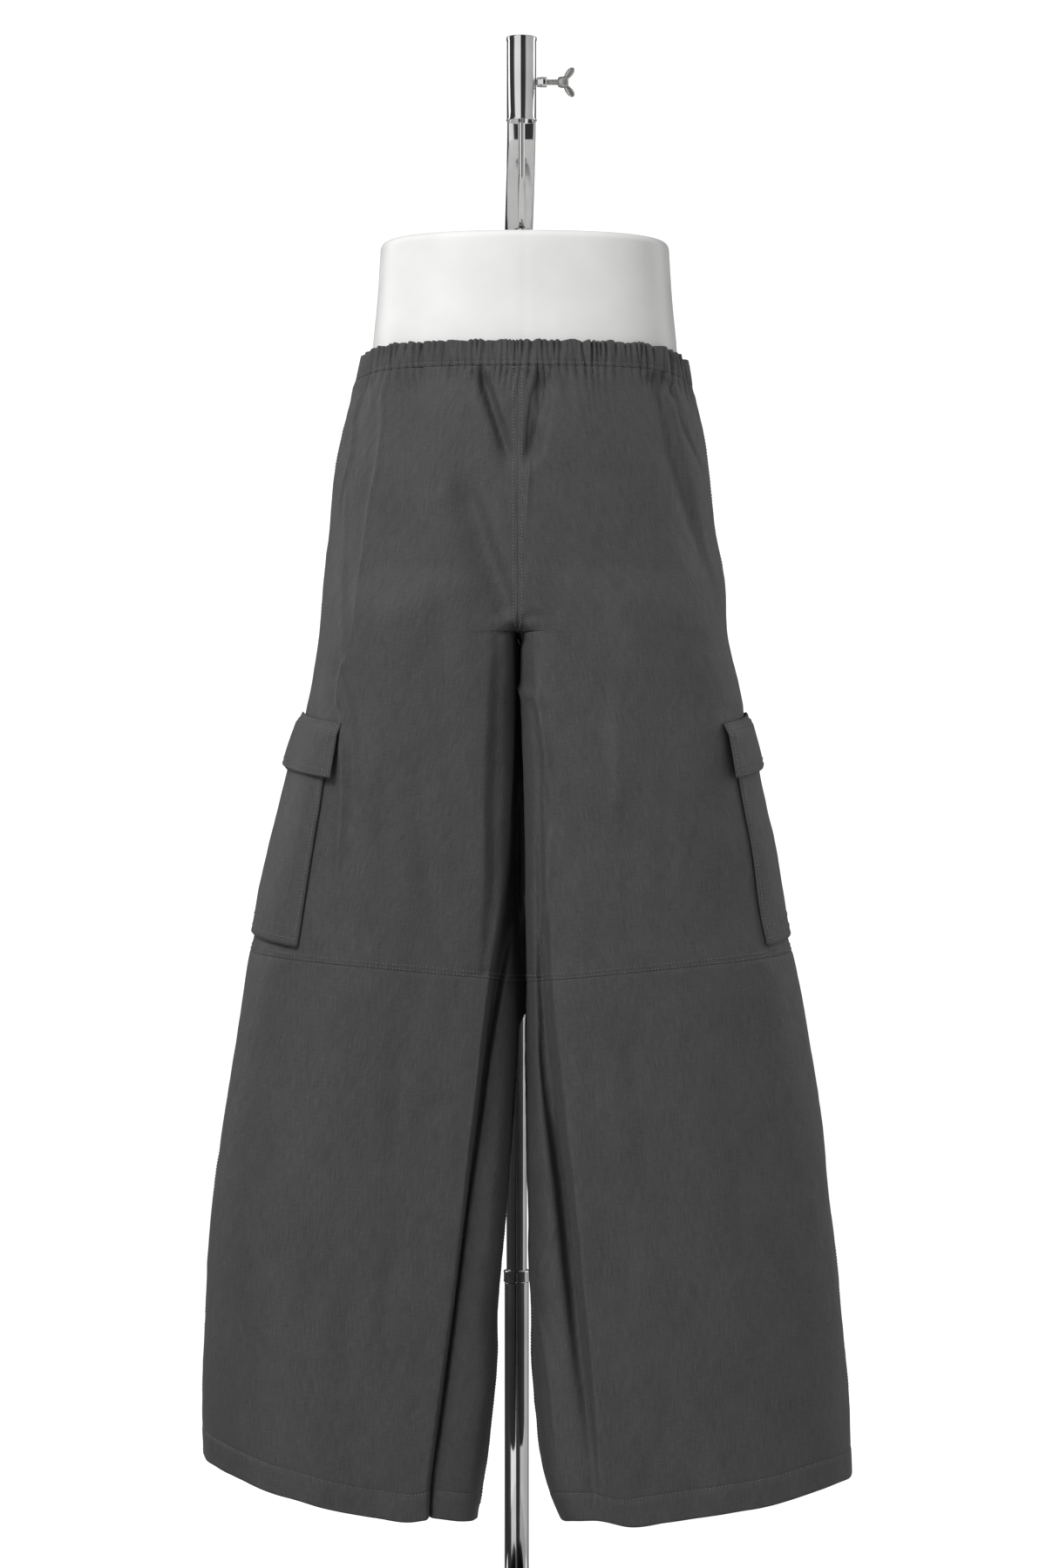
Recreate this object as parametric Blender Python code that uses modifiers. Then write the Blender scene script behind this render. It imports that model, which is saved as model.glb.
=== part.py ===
"""Wide-leg rain pants on a limbless hip form that hangs on a chrome stand.

Metres, +Z up, -Y is the front. The origin is on the floor under the middle of the form.
The trousers are cut as eight leg panels, a waistband ring and two flapped cargo pockets. Every
cloth piece is a patch of one garment surface, which is worked out from the tables below.
"""

import math

import bmesh
import bpy
import numpy as np

# ---------------------------------------------------------------- driving sizes
WALL = 0.0013  # leg cloth
POCKET_WALL = 0.0015
FLAP_WALL = 0.0020
BAND_WALL = 0.0030  # casing with its elastic
SEAM_GAP = 0.00018  # half of the gap left at each seam
SEAT = 0.0003

Z_CROTCH = 0.892
Z_RISE = 1.000  # above this the two halves form one tube
RISE_POWER = 5.0  # how late the centre seam turns inward above the crotch
MID_Y = 0.003  # depth of the inseam and of the side seams
BOW = 0.0115  # both inner walls bow to the right by this, so the legs lie against each other
BOW_REACH = (0.572, 0.891)

BAND_CENTRE_X = 0.0063
FORM_SQUARE = 2.3
BAND_HEIGHT = 0.0212
BAND_BOTTOM = 1.1230
BAND_DROP = (0.005, 0.011)  # how far it drops at the left and right side
GATHERS = 62
GATHER_HEIGHT = 0.0013
GATHER_END = 1.070

KNEE_FRONT = 0.585
KNEE_SIDE = 0.613

COLUMNS = 18  # columns of cloth in one panel
TOP_COLUMNS = 54  # columns in the gathered top edge of one panel

POLE_X, POLE_Y = -0.0012, 0.150
LOWER_R, UPPER_R, UPPER_BORE, COLLAR_R = 0.0114, 0.0096, 0.0082, 0.01245
COLLAR_Z = (0.2937, 0.3052)
BASE_R, BASE_H = 0.180, 0.008
SLEEVE_X, SLEEVE_R, SLEEVE_BORE = 0.0034, 0.0135, 0.0123
SLEEVE_Z = (1.353, 1.428)
ROD_R = 0.0031
SCREW_Z = 1.388
FORM_TOP = 1.243
UPPER_TUBE_Z = (0.100, 1.190)

# ---------------------------------------------------------------- tables
# One row for each section of a leg, from the waist seam to the hem. Columns: height, outer edge
# and inner edge (distance from the middle plane), depth of front and back, squareness of the
# outer and of the inner corners, x of the big inner-front fold, and how far the cloth behind it
# steps back.
COLUMN_NAMES = ("z", "outer", "inner", "front", "back", "square", "corner", "fold_x", "fold_in")
LEG_LEFT = [
    (1.140, 0.1375, 0.0015, -0.0995, 0.0995, 2.40, 2.40, 0.0000, 0.000),
    (1.110, 0.1470, 0.0015, -0.1040, 0.1050, 2.30, 2.30, 0.0000, 0.000),
    (1.080, 0.1552, 0.0015, -0.1095, 0.1120, 2.30, 2.30, 0.0000, 0.000),
    (1.040, 0.1638, 0.0015, -0.1155, 0.1185, 2.32, 2.32, 0.0000, 0.000),
    (0.990, 0.1682, 0.0015, -0.1200, 0.1235, 2.35, 5.00, 0.0000, 0.000),
    (0.940, 0.1734, 0.0015, -0.1215, 0.1240, 2.38, 8.00, 0.0000, 0.000),
    (0.892, 0.1774, 0.0018, -0.1212, 0.1225, 2.40, 8.00, 0.0010, 0.003),
    (0.850, 0.1842, 0.0020, -0.1205, 0.1205, 2.42, 8.00, -0.0008, 0.026),
    (0.800, 0.1952, 0.0022, -0.1198, 0.1180, 2.45, 8.00, -0.0020, 0.040),
    (0.760, 0.2040, 0.0022, -0.1190, 0.1160, 2.45, 8.00, -0.0032, 0.044),
    (0.700, 0.2190, 0.0016, -0.1180, 0.1135, 2.45, 8.00, -0.0062, 0.044),
    (0.650, 0.2302, 0.0006, -0.1170, 0.1115, 2.45, 8.00, -0.0122, 0.038),
    (0.600, 0.2412, -0.0008, -0.1160, 0.1100, 2.45, 8.00, -0.0205, 0.034),
    (0.550, 0.2490, -0.0012, -0.1150, 0.1085, 2.45, 8.00, -0.0270, 0.026),
    (0.480, 0.2606, 0.0034, -0.1140, 0.1065, 2.45, 8.00, -0.0345, 0.018),
    (0.430, 0.2681, 0.0072, -0.1130, 0.1050, 2.45, 8.00, -0.0412, 0.014),
    (0.385, 0.2739, 0.0108, -0.1125, 0.1035, 2.45, 8.00, -0.0470, 0.012),
    (0.340, 0.2777, 0.0150, -0.1120, 0.1020, 2.45, 8.00, -0.0525, 0.011),
    (0.292, 0.2794, 0.0192, -0.1115, 0.1005, 2.45, 8.00, -0.0583, 0.010),
    (0.245, 0.2810, 0.0198, -0.1110, 0.0990, 2.45, 8.00, -0.0644, 0.010),
    (0.200, 0.2810, 0.0238, -0.1105, 0.0980, 2.45, 8.00, -0.0704, 0.010),
    (0.155, 0.2794, 0.0288, -0.1100, 0.0970, 2.45, 8.00, -0.0765, 0.010),
    (0.105, 0.2780, 0.0375, -0.1095, 0.0960, 2.45, 8.00, -0.0790, 0.009),
]
LEG_RIGHT = [
    (1.140, 0.1490, 0.0015, -0.0995, 0.0995, 2.40, 2.40, 0.0000, 0.000),
    (1.110, 0.1560, 0.0015, -0.1040, 0.1050, 2.30, 2.30, 0.0000, 0.000),
    (1.080, 0.1645, 0.0015, -0.1095, 0.1120, 2.30, 2.30, 0.0000, 0.000),
    (1.040, 0.1708, 0.0015, -0.1155, 0.1185, 2.32, 2.32, 0.0000, 0.000),
    (0.990, 0.1760, 0.0015, -0.1200, 0.1235, 2.35, 5.00, 0.0000, 0.000),
    (0.940, 0.1856, 0.0015, -0.1215, 0.1240, 2.38, 8.00, 0.0000, 0.000),
    (0.892, 0.1874, 0.0018, -0.1212, 0.1225, 2.40, 8.00, 0.0100, 0.000),
    (0.850, 0.1970, 0.0020, -0.1205, 0.1205, 2.42, 8.00, 0.0135, 0.002),
    (0.800, 0.2065, 0.0032, -0.1198, 0.1180, 2.45, 8.00, 0.0212, 0.003),
    (0.760, 0.2130, 0.0038, -0.1190, 0.1160, 2.45, 8.00, 0.0250, 0.004),
    (0.700, 0.2268, 0.0046, -0.1180, 0.1135, 2.45, 8.00, 0.0252, 0.005),
    (0.650, 0.2350, 0.0052, -0.1170, 0.1115, 2.45, 8.00, 0.0253, 0.006),
    (0.600, 0.2478, 0.0062, -0.1160, 0.1100, 2.45, 8.00, 0.0266, 0.009),
    (0.550, 0.2566, 0.0066, -0.1150, 0.1085, 2.45, 8.00, 0.0305, 0.014),
    (0.480, 0.2676, 0.0074, -0.1140, 0.1065, 2.45, 8.00, 0.0390, 0.018),
    (0.430, 0.2742, 0.0080, -0.1130, 0.1050, 2.45, 8.00, 0.0444, 0.019),
    (0.385, 0.2794, 0.0100, -0.1125, 0.1035, 2.45, 8.00, 0.0490, 0.018),
    (0.340, 0.2848, 0.0104, -0.1120, 0.1020, 2.45, 8.00, 0.0535, 0.016),
    (0.292, 0.2896, 0.0126, -0.1115, 0.1005, 2.45, 8.00, 0.0578, 0.013),
    (0.245, 0.2935, 0.0134, -0.1110, 0.0990, 2.45, 8.00, 0.0626, 0.009),
    (0.200, 0.2962, 0.0172, -0.1105, 0.0980, 2.45, 8.00, 0.0668, 0.005),
    (0.155, 0.2980, 0.0225, -0.1100, 0.0970, 2.45, 8.00, 0.0700, 0.002),
    (0.105, 0.2985, 0.0440, -0.1095, 0.0960, 2.45, 8.00, 0.0720, 0.000),
]
LEGS = {
    "left": np.array(LEG_LEFT)[::-1],
    "right": np.array(LEG_RIGHT)[::-1],
}
SIGN = {"left": -1.0, "right": 1.0}

# The largest folds, as troughs (depth above 0) and ridges (below 0) that run down the cloth.
# Columns: leg, side, height and x at the top, height and x at the foot, depth, half width.
FOLDS = [
    ("left", "front", 1.118, -0.031, 1.035, -0.006, 0.0085, 0.0075),
    ("right", "front", 1.118, 0.026, 1.035, 0.010, 0.0085, 0.0070),
    ("left", "front", 1.020, -0.047, 0.905, -0.006, 0.0050, 0.0130),
    ("right", "front", 1.110, 0.118, 0.905, 0.168, 0.0050, 0.0140),
    ("left", "back", 1.112, -0.030, 1.040, -0.008, 0.0070, 0.0090),
    ("right", "back", 1.112, 0.034, 1.030, 0.010, 0.0070, 0.0090),
    ("left", "back", 0.860, -0.060, 0.560, -0.085, 0.0090, 0.0180),
    ("right", "back", 0.840, 0.070, 0.520, 0.090, 0.0090, 0.0180),
    ("left", "back", 0.480, -0.120, 0.115, -0.150, 0.0070, 0.0200),
    ("right", "back", 0.500, 0.110, 0.115, 0.160, 0.0070, 0.0200),
]

# Hem height around a leg: position round the leg (0 inseam, 0.25 front, 0.5 side), height.
HEM = {
    "left": [
        (0.000, 0.1150),
        (0.060, 0.1135),
        (0.100, 0.1175),
        (0.124, 0.1198),
        (0.169, 0.1245),
        (0.198, 0.1219),
        (0.226, 0.1250),
        (0.255, 0.1288),
        (0.284, 0.1339),
        (0.314, 0.1408),
        (0.344, 0.1462),
        (0.380, 0.1554),
        (0.411, 0.1609),
        (0.454, 0.1642),
        (0.500, 0.1655),
        (0.600, 0.1560),
        (0.700, 0.1420),
        (0.800, 0.1300),
        (0.900, 0.1220),
        (1.000, 0.1150),
    ],
    "right": [
        (0.000, 0.1330),
        (0.050, 0.1300),
        (0.071, 0.1271),
        (0.092, 0.1198),
        (0.131, 0.1217),
        (0.156, 0.1226),
        (0.181, 0.1179),
        (0.224, 0.1220),
        (0.280, 0.1287),
        (0.338, 0.1362),
        (0.386, 0.1446),
        (0.415, 0.1472),
        (0.460, 0.1470),
        (0.500, 0.1475),
        (0.600, 0.1430),
        (0.700, 0.1340),
        (0.800, 0.1270),
        (0.900, 0.1290),
        (1.000, 0.1330),
    ],
}

# The hip form: height, half width, depth of front and of back.
FORM = [
    (0.926, 0.045, 0.022, 0.024),
    (0.930, 0.090, 0.046, 0.048),
    (0.940, 0.122, 0.066, 0.070),
    (0.958, 0.143, 0.084, 0.092),
    (0.985, 0.154, 0.097, 0.106),
    (1.015, 0.156, 0.103, 0.109),
    (1.050, 0.152, 0.1035, 0.107),
    (1.085, 0.145, 0.0995, 0.101),
    (1.115, 0.1375, 0.0948, 0.0948),
    (1.150, 0.1358, 0.0948, 0.0948),
    (1.190, 0.1320, 0.0925, 0.0925),
    (1.235, 0.1290, 0.0910, 0.0910),
    (1.2405, 0.1275, 0.0895, 0.0895),
    (1.243, 0.1230, 0.0850, 0.0850),
]

# Cargo pockets; the left one sits further round to the front. Columns: top and foot at the
# pocket's middle, drop towards its edges, first and last position round the leg, rows.
POCKETS = {
    ("left", "bag"): (0.806, 0.629, 0.012, 0.3440, 0.5900, 7),
    ("left", "flap"): (0.824, 0.776, 0.013, 0.3300, 0.6060, 3),
    ("right", "bag"): (0.806, 0.629, 0.012, 0.3880, 0.6120, 7),
    ("right", "flap"): (0.824, 0.776, 0.013, 0.3730, 0.6270, 3),
}

BAG_SWELL = 0.0022  # how far a bag stands out between its edges
FLAP_LIFT = (0.0022, 0.0018)  # how far a flap's foot stands out at its corners, and more between

PAINT = {
    "cloth": ((0.085, 0.085, 0.087), 0.75, 0.0),
    "form": ((0.86, 0.86, 0.85), 0.35, 0.0),
    "chrome": ((0.80, 0.80, 0.80), 0.10, 1.0),
    "zinc": ((0.60, 0.60, 0.58), 0.40, 1.0),
}


# ---------------------------------------------------------------- helpers
def smooth(x):
    """Rises from 0 to 1 with level ends."""
    x = np.clip(x, 0.0, 1.0)
    return x * x * (3.0 - 2.0 * x)


def table_curve(xs, ys, x):
    """A smooth curve through a table's rows, with slopes from their neighbours."""
    x = np.clip(x, xs[0], xs[-1])
    slope = np.gradient(ys, xs)
    i = np.clip(np.searchsorted(xs, x, side="right") - 1, 0, len(xs) - 2)
    h = xs[i + 1] - xs[i]
    u = (x - xs[i]) / h
    return (
        (2 * u**3 - 3 * u**2 + 1) * ys[i]
        + (u**3 - 2 * u**2 + u) * h * slope[i]
        + (3 * u**2 - 2 * u**3) * ys[i + 1]
        + (u**3 - u**2) * h * slope[i + 1]
    )


def leg_rows(leg, z):
    rows = LEGS[leg]
    return {
        name: table_curve(rows[:, 0], rows[:, k], z)
        for k, name in enumerate(COLUMN_NAMES)
    }


def fold_push(leg, side, x, z):
    """How far the largest folds push the cloth inward at x, z on one side of a leg."""
    push = np.zeros(np.broadcast(x, z).shape)
    for on_leg, on_side, z_top, x_top, z_foot, x_foot, depth, half in FOLDS:
        if on_leg != leg or on_side != side:
            continue
        u = (z_top - z) / (z_top - z_foot)
        line = x_top + (x_foot - x_top) * np.clip(u, -0.3, 1.3)
        fade = smooth((u + 0.12) / 0.3) * smooth((1.12 - u) / 0.35)
        push += depth * fade * np.exp(-(((x - line) / half) ** 2))
    return push


def half_section(leg, side, z, count=72):
    """The front or back half of one section at each height: x, y from the middle to the side."""
    z = np.asarray(z, float)[:, None]
    sign = SIGN[leg]
    row = leg_rows(leg, z)
    depth = np.abs(row[side] - MID_Y)
    q = np.clip((z - Z_CROTCH) / (Z_RISE - Z_CROTCH), 0.0, 1.0)
    open_part = np.maximum(1.0 - (1.0 - q) ** RISE_POWER, 0.0) ** (1.0 / RISE_POWER)
    leg_part = 1.0 - smooth(q)
    centre = 0.5 * (row["outer"] + row["inner"]) * leg_part
    reach_in = np.maximum(centre - row["inner"], 1e-4)
    reach_out = row["outer"] - centre
    # the end at the middle: on the centre seam above the crotch, on the inseam below it
    near = smooth((Z_CROTCH - z) / 0.004)
    end_x = centre - (SEAM_GAP * (1 - near) + row["inner"] * near)
    end_y = np.maximum(depth * open_part, SEAM_GAP)
    n = row["corner"]
    part = np.minimum(end_y / depth, 1.0)
    start_x = reach_in * np.maximum(1.0 - part**n, 0.0) ** (1.0 / n)
    start = np.arctan2(end_y, start_x)
    angle = start + (math.pi - start) * np.linspace(0.0, 1.0, count)[None, :]
    cos, sin = np.cos(angle), np.sin(angle)
    reach = np.where(cos > 0, reach_in, reach_out)
    n = np.where(cos > 0, row["corner"], row["square"])
    radius = ((np.abs(cos) / reach) ** n + (np.abs(sin) / depth) ** n) ** (-1.0 / n)
    blend = 1.0 - smooth((angle - start) / 0.9)
    x = sign * (centre - radius * cos - (end_x - start_x) * blend)
    out = radius * sin
    wall = (cos > 0) * (1.0 - smooth(out / (0.75 * depth)))
    bow = BOW * smooth((z - BOW_REACH[0]) / 0.03) * smooth((BOW_REACH[1] - z) / 0.016)
    # the big inner-front fold: the cloth on its inner side steps back
    if side == "front":
        fold = row["fold_x"]
        inner_side = smooth((fold - x) * sign / 0.009 + 0.5)
        ease = smooth((out - 0.2 * depth) / (0.55 * depth))
        out = out - row["fold_in"] * inner_side * ease
    out = out - fold_push(leg, side, x, z) * smooth((out - 0.2 * depth) / (0.5 * depth))
    y = MID_Y + (out if side == "back" else -out)
    return x + bow * wall, y


def place(leg, side, share, z):
    """Points on the garment, at a share of the way from the middle to the side seam."""
    share, z = np.broadcast_arrays(np.asarray(share, float), np.asarray(z, float))
    flat_share, flat_z = share.ravel(), z.ravel()
    x, y = half_section(leg, side, flat_z)
    step = np.hypot(np.diff(x, axis=1), np.diff(y, axis=1))
    run = np.concatenate([np.zeros((len(x), 1)), np.cumsum(step, axis=1)], axis=1)
    want = np.clip(flat_share, 0, 1) * run[:, -1]
    i = np.clip((run <= want[:, None]).sum(axis=1) - 1, 0, x.shape[1] - 2)
    k = np.arange(len(x))
    u = (want - run[k, i]) / np.maximum(run[k, i + 1] - run[k, i], 1e-9)
    px = x[k, i] + (x[k, i + 1] - x[k, i]) * u
    py = y[k, i] + (y[k, i + 1] - y[k, i]) * u
    return np.stack([px, py, flat_z], axis=1).reshape(share.shape + (3,))


def outward(leg, side, share, z):
    """Unit normals that neighbouring panels share along their seams."""
    share, z = np.broadcast_arrays(np.asarray(share, float), np.asarray(z, float))
    ds, dz = 0.012, 0.003
    along = place(leg, side, share + ds, z) - place(leg, side, share - ds, z)
    # across the side seam the other half carries on
    other = "back" if side == "front" else "front"
    past = place(leg, other, np.full_like(share, 1.0 - ds), z)
    before = place(leg, side, np.full_like(share, 1.0 - ds), z)
    along = np.where((share > 1.0 - 0.5 * ds)[..., None], past - before, along)
    down = place(leg, side, share, z - dz) - place(leg, side, share, z + dz)
    n = np.cross(along, down)
    mid = place(leg, side, np.full_like(share, 0.5), z)
    want = np.stack([0 * z, mid[..., 1] - MID_Y, 0 * z], axis=-1)
    # one sign for the whole patch: the panel's middle faces away from the depth's middle
    ref = np.cross(
        place(leg, side, np.full_like(share, 0.52), z)
        - place(leg, side, np.full_like(share, 0.48), z),
        down,
    )
    flip = np.sign(np.sum(ref * want, axis=-1, keepdims=True))
    n = n * flip
    n /= np.maximum(np.linalg.norm(n, axis=-1, keepdims=True), 1e-12)
    # at the centre seam the normal lies in the middle plane; at the inseam it faces inward
    q = np.clip((z - Z_CROTCH) / (Z_RISE - Z_CROTCH), 1e-4, 1.0)
    front = -1.0 if side == "front" else 1.0
    rows = leg_rows(leg, z)
    depth = np.abs(rows[side] - MID_Y)
    rate = (1 - q) ** (RISE_POWER - 1) * (1 - (1 - q) ** RISE_POWER) ** (1 / RISE_POWER - 1)
    rate = depth * rate / (Z_RISE - Z_CROTCH)
    plane = np.stack([0 * z, front * np.ones_like(z), -rate], axis=-1)
    plane /= np.linalg.norm(plane, axis=-1, keepdims=True)
    facing = np.stack([-SIGN[leg] * np.ones_like(z), 0 * z, 0 * z], axis=-1)
    near = smooth((Z_CROTCH + 0.0005 - z) / 0.006)[..., None]
    edge = plane * (1 - near) + facing * near
    edge /= np.linalg.norm(edge, axis=-1, keepdims=True)
    w = (1 - smooth(share / 0.03))[..., None]
    n = n * (1 - w) + edge * w
    return n / np.linalg.norm(n, axis=-1, keepdims=True)


def band_heading(x, y):
    """Direction round the waist: 0 at the right side, a quarter turn at the front."""
    return np.arctan2(-y, x - BAND_CENTRE_X)


def band_bottom(heading):
    """Height of the waist seam: level, and lower close to the sides."""
    c = np.cos(heading)
    drop = np.where(c < 0, *BAND_DROP)
    return BAND_BOTTOM - drop * c**18


def gather(heading):
    """The uneven gathers of the elastic: one wave of cloth in and out."""
    phase = GATHERS * heading + 1.3 * np.sin(3 * heading + 0.5) + 0.9 * np.sin(7 * heading)
    swell = 0.72 + 0.28 * np.sin(5 * heading + 1.0)
    return GATHER_HEIGHT * swell * np.cos(phase)


def knee_height(side, share):
    drop = 1.0 - smooth(np.asarray(share, float) / 1.02)
    low = KNEE_FRONT if side == "front" else KNEE_FRONT + 0.006
    return KNEE_SIDE - (KNEE_SIDE - low) * drop


def hem_height(leg, side, share):
    table = np.array(HEM[leg])
    turn = 0.5 * np.asarray(share, float)
    turn = turn if side == "front" else 1.0 - turn
    return table_curve(table[:, 0], table[:, 1], turn)


def waist_height(leg, side, share):
    """Top edge of an upper panel, just under the waistband."""
    z = np.full_like(np.asarray(share, float), 1.12)
    for _ in range(3):
        p = place(leg, side, share, z)
        z = band_bottom(band_heading(p[..., 0], p[..., 1])) - SEAT
    return z


# ---------------------------------------------------------------- scene helpers
def clear_scene():
    for obj in list(bpy.data.objects):
        bpy.data.objects.remove(obj, do_unlink=True)


def make_material(name):
    colour, rough, metal = PAINT[name]
    mat = bpy.data.materials.new(name)
    mat.use_nodes = True
    bsdf = mat.node_tree.nodes["Principled BSDF"]
    bsdf.inputs["Base Color"].default_value = (*colour, 1.0)
    bsdf.inputs["Roughness"].default_value = rough
    bsdf.inputs["Metallic"].default_value = metal
    return mat


class Maker:
    """Puts finished meshes in the object's collection, each with its material."""

    def __init__(self):
        self.parts = bpy.data.collections.new("rain_pants_on_form")
        self.cutters = bpy.data.collections.new("cutters")
        bpy.context.scene.collection.children.link(self.parts)
        bpy.context.scene.collection.children.link(self.cutters)
        self.paint = {name: make_material(name) for name in PAINT}

    def mesh(self, name, verts, faces, paint, soft=True):
        mesh = bpy.data.meshes.new(name)
        mesh.from_pydata([tuple(map(float, v)) for v in verts], [], faces)
        mesh.materials.append(self.paint[paint])
        bm = bmesh.new()
        bm.from_mesh(mesh)
        bmesh.ops.recalc_face_normals(bm, faces=bm.faces[:])
        if bm.calc_volume(signed=True) < 0:
            bmesh.ops.reverse_faces(bm, faces=bm.faces[:])
        bm.to_mesh(mesh)
        bm.free()
        if soft:
            mesh.shade_smooth()
        obj = bpy.data.objects.new(name, mesh)
        self.parts.objects.link(obj)
        return obj

    def turned(self, name, profile, steps, paint, at=(0, 0, 0), lie=(0, 0, 0)):
        """A closed profile of radius and height, turned round its own Z axis."""
        mesh = bpy.data.meshes.new(name)
        count = len(profile)
        mesh.from_pydata(
            [(r, 0.0, h) for r, h in profile],
            [(i, (i + 1) % count) for i in range(count)],
            [],
        )
        mesh.materials.append(self.paint[paint])
        obj = bpy.data.objects.new(name, mesh)
        self.parts.objects.link(obj)
        screw = obj.modifiers.new("turn", "SCREW")
        screw.steps = screw.render_steps = steps
        screw.use_merge_vertices = True
        screw.merge_threshold = 0.00005
        screw.use_smooth_shade = True
        obj.location = at
        obj.rotation_euler = lie
        return obj

    def cylinder(self, name, radius, low, high, steps, paint, at=(0, 0, 0), lie=(0, 0, 0)):
        bm = bmesh.new()
        bmesh.ops.create_cone(
            bm, cap_ends=True, segments=steps, radius1=radius, radius2=radius, depth=high - low
        )
        bmesh.ops.translate(bm, vec=(0, 0, 0.5 * (low + high)), verts=bm.verts)
        mesh = bpy.data.meshes.new(name)
        bm.to_mesh(mesh)
        bm.free()
        if paint:
            mesh.materials.append(self.paint[paint])
        obj = bpy.data.objects.new(name, mesh)
        (self.parts if paint else self.cutters).objects.link(obj)
        obj.location = at
        obj.rotation_euler = lie
        if not paint:
            obj.hide_render = True
            obj.display_type = "WIRE"
        return obj


def cut(obj, tool, kind="DIFFERENCE"):
    mod = obj.modifiers.new(kind.lower(), "BOOLEAN")
    mod.operation = kind
    mod.object = tool
    mod.solver = "EXACT"


# ---------------------------------------------------------------- cloth shells
def shell(rows_out, rows_in):
    """A closed wall from matching rows of outer and inner points.

    Rows may hold different numbers of points; such a pair is joined by a fan.
    """
    verts, starts = [], []
    for rows in (rows_out, rows_in):
        start = []
        for row in rows:
            start.append(len(verts))
            verts.extend(row)
        starts.append(start)
    faces = []

    def strip(a, na, b, nb):
        i = j = 0
        while i < na - 1 or j < nb - 1:
            if na == nb:
                faces.append((a + i, a + i + 1, b + j + 1, b + j))
                i += 1
                j += 1
            elif j == nb - 1 or (i < na - 1 and (i + 1) / (na - 1) <= (j + 0.5) / (nb - 1)):
                faces.append((a + i, a + i + 1, b + j))
                i += 1
            else:
                faces.append((a + i, b + j + 1, b + j))
                j += 1

    for start, rows in zip(starts, (rows_out, rows_in)):
        for k in range(len(rows) - 1):
            strip(start[k], len(rows[k]), start[k + 1], len(rows[k + 1]))
    out, inn = starts
    for k in range(len(rows_out) - 1):
        n0, n1 = len(rows_out[k]) - 1, len(rows_out[k + 1]) - 1
        faces.append((out[k], out[k + 1], inn[k + 1], inn[k]))
        faces.append((out[k] + n0, out[k + 1] + n1, inn[k + 1] + n1, inn[k] + n0))
    for k in (0, len(rows_out) - 1):
        for i in range(len(rows_out[k]) - 1):
            faces.append((out[k] + i, out[k] + i + 1, inn[k] + i + 1, inn[k] + i))
    return verts, faces


def side_share(leg, side, z):
    """The share that stops half a seam gap before the side seam."""
    x, y = half_section(leg, side, np.atleast_1d(z).ravel())
    length = np.hypot(np.diff(x, axis=1), np.diff(y, axis=1)).sum(axis=1)
    return 1.0 - SEAM_GAP / length.reshape(np.shape(z))


def panel_rows(leg, side, heights, wavy=False):
    """Outer and inner rows of a panel. Each row of heights is a function of the share."""
    outer, inner = [], []
    for k, height in enumerate(heights):
        gathered = wavy and k == 0
        share = np.linspace(0.0, 1.0, (TOP_COLUMNS if gathered else COLUMNS) + 1)
        z = height(share)
        share = share * side_share(leg, side, z)
        p = place(leg, side, share, z)
        n = outward(leg, side, share, z)
        if gathered:
            level = n.copy()
            level[:, 2] = 0.0
            level /= np.linalg.norm(level, axis=1, keepdims=True)
            wave = gather(band_heading(p[:, 0], p[:, 1])) * np.minimum(
                smooth(share / 0.04 + 0.2), smooth((1 - share) / 0.04 + 0.2)
            )
            p = p + level * wave[:, None]
            n = level
        for rows, way in ((outer, 1.0), (inner, -1.0)):
            points = p + way * n * 0.5 * WALL
            # above the crotch the two legs' panels stay on their own sides of the centre seam
            own = np.maximum(SIGN[leg] * points[:, 0], SEAM_GAP) * SIGN[leg]
            points[:, 0] = np.where(z >= Z_CROTCH, own, points[:, 0])
            rows.append(points)
    return outer, inner


def upper_panel(maker, leg, side):
    def top(share):
        return waist_height(leg, side, share)

    def fixed(z):
        return lambda share: np.full_like(share, z)

    def between(u):
        return lambda share: (
            Z_CROTCH - 0.02 + (knee_height(side, share) + SEAM_GAP - Z_CROTCH + 0.02) * u
        )

    heights = [top, fixed(GATHER_END), fixed(1.035)]
    heights += [fixed(Z_CROTCH + (Z_RISE - Z_CROTCH) * (k / 5) ** 2) for k in (5, 4, 3, 2, 1, 0)]
    heights += [fixed(Z_CROTCH - 0.004)]
    heights += [between(k / 5) for k in range(6)]
    return maker.mesh(
        f"{side}_upper_{leg}", *shell(*panel_rows(leg, side, heights, wavy=True)), "cloth"
    )


def lower_panel(maker, leg, side):
    def between(u):
        def height(share):
            top = knee_height(side, share) - SEAM_GAP
            return top + (hem_height(leg, side, share) - top) * u

        return height

    heights = [between(k / 7) for k in range(8)]
    return maker.mesh(f"{side}_lower_{leg}", *shell(*panel_rows(leg, side, heights)), "cloth")


def pocket_point(leg, turn, z, off):
    """A point round the leg (0.25 front, 0.5 side seam, 0.75 back), moved out of the cloth."""
    side = "front" if turn <= 0.5 else "back"
    share = 2 * turn if side == "front" else 2 * (1 - turn)
    p = place(leg, side, np.array([share]), np.array([z]))[0]
    n = outward(leg, side, np.array([share]), np.array([z]))[0]
    return p + n * off


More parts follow.
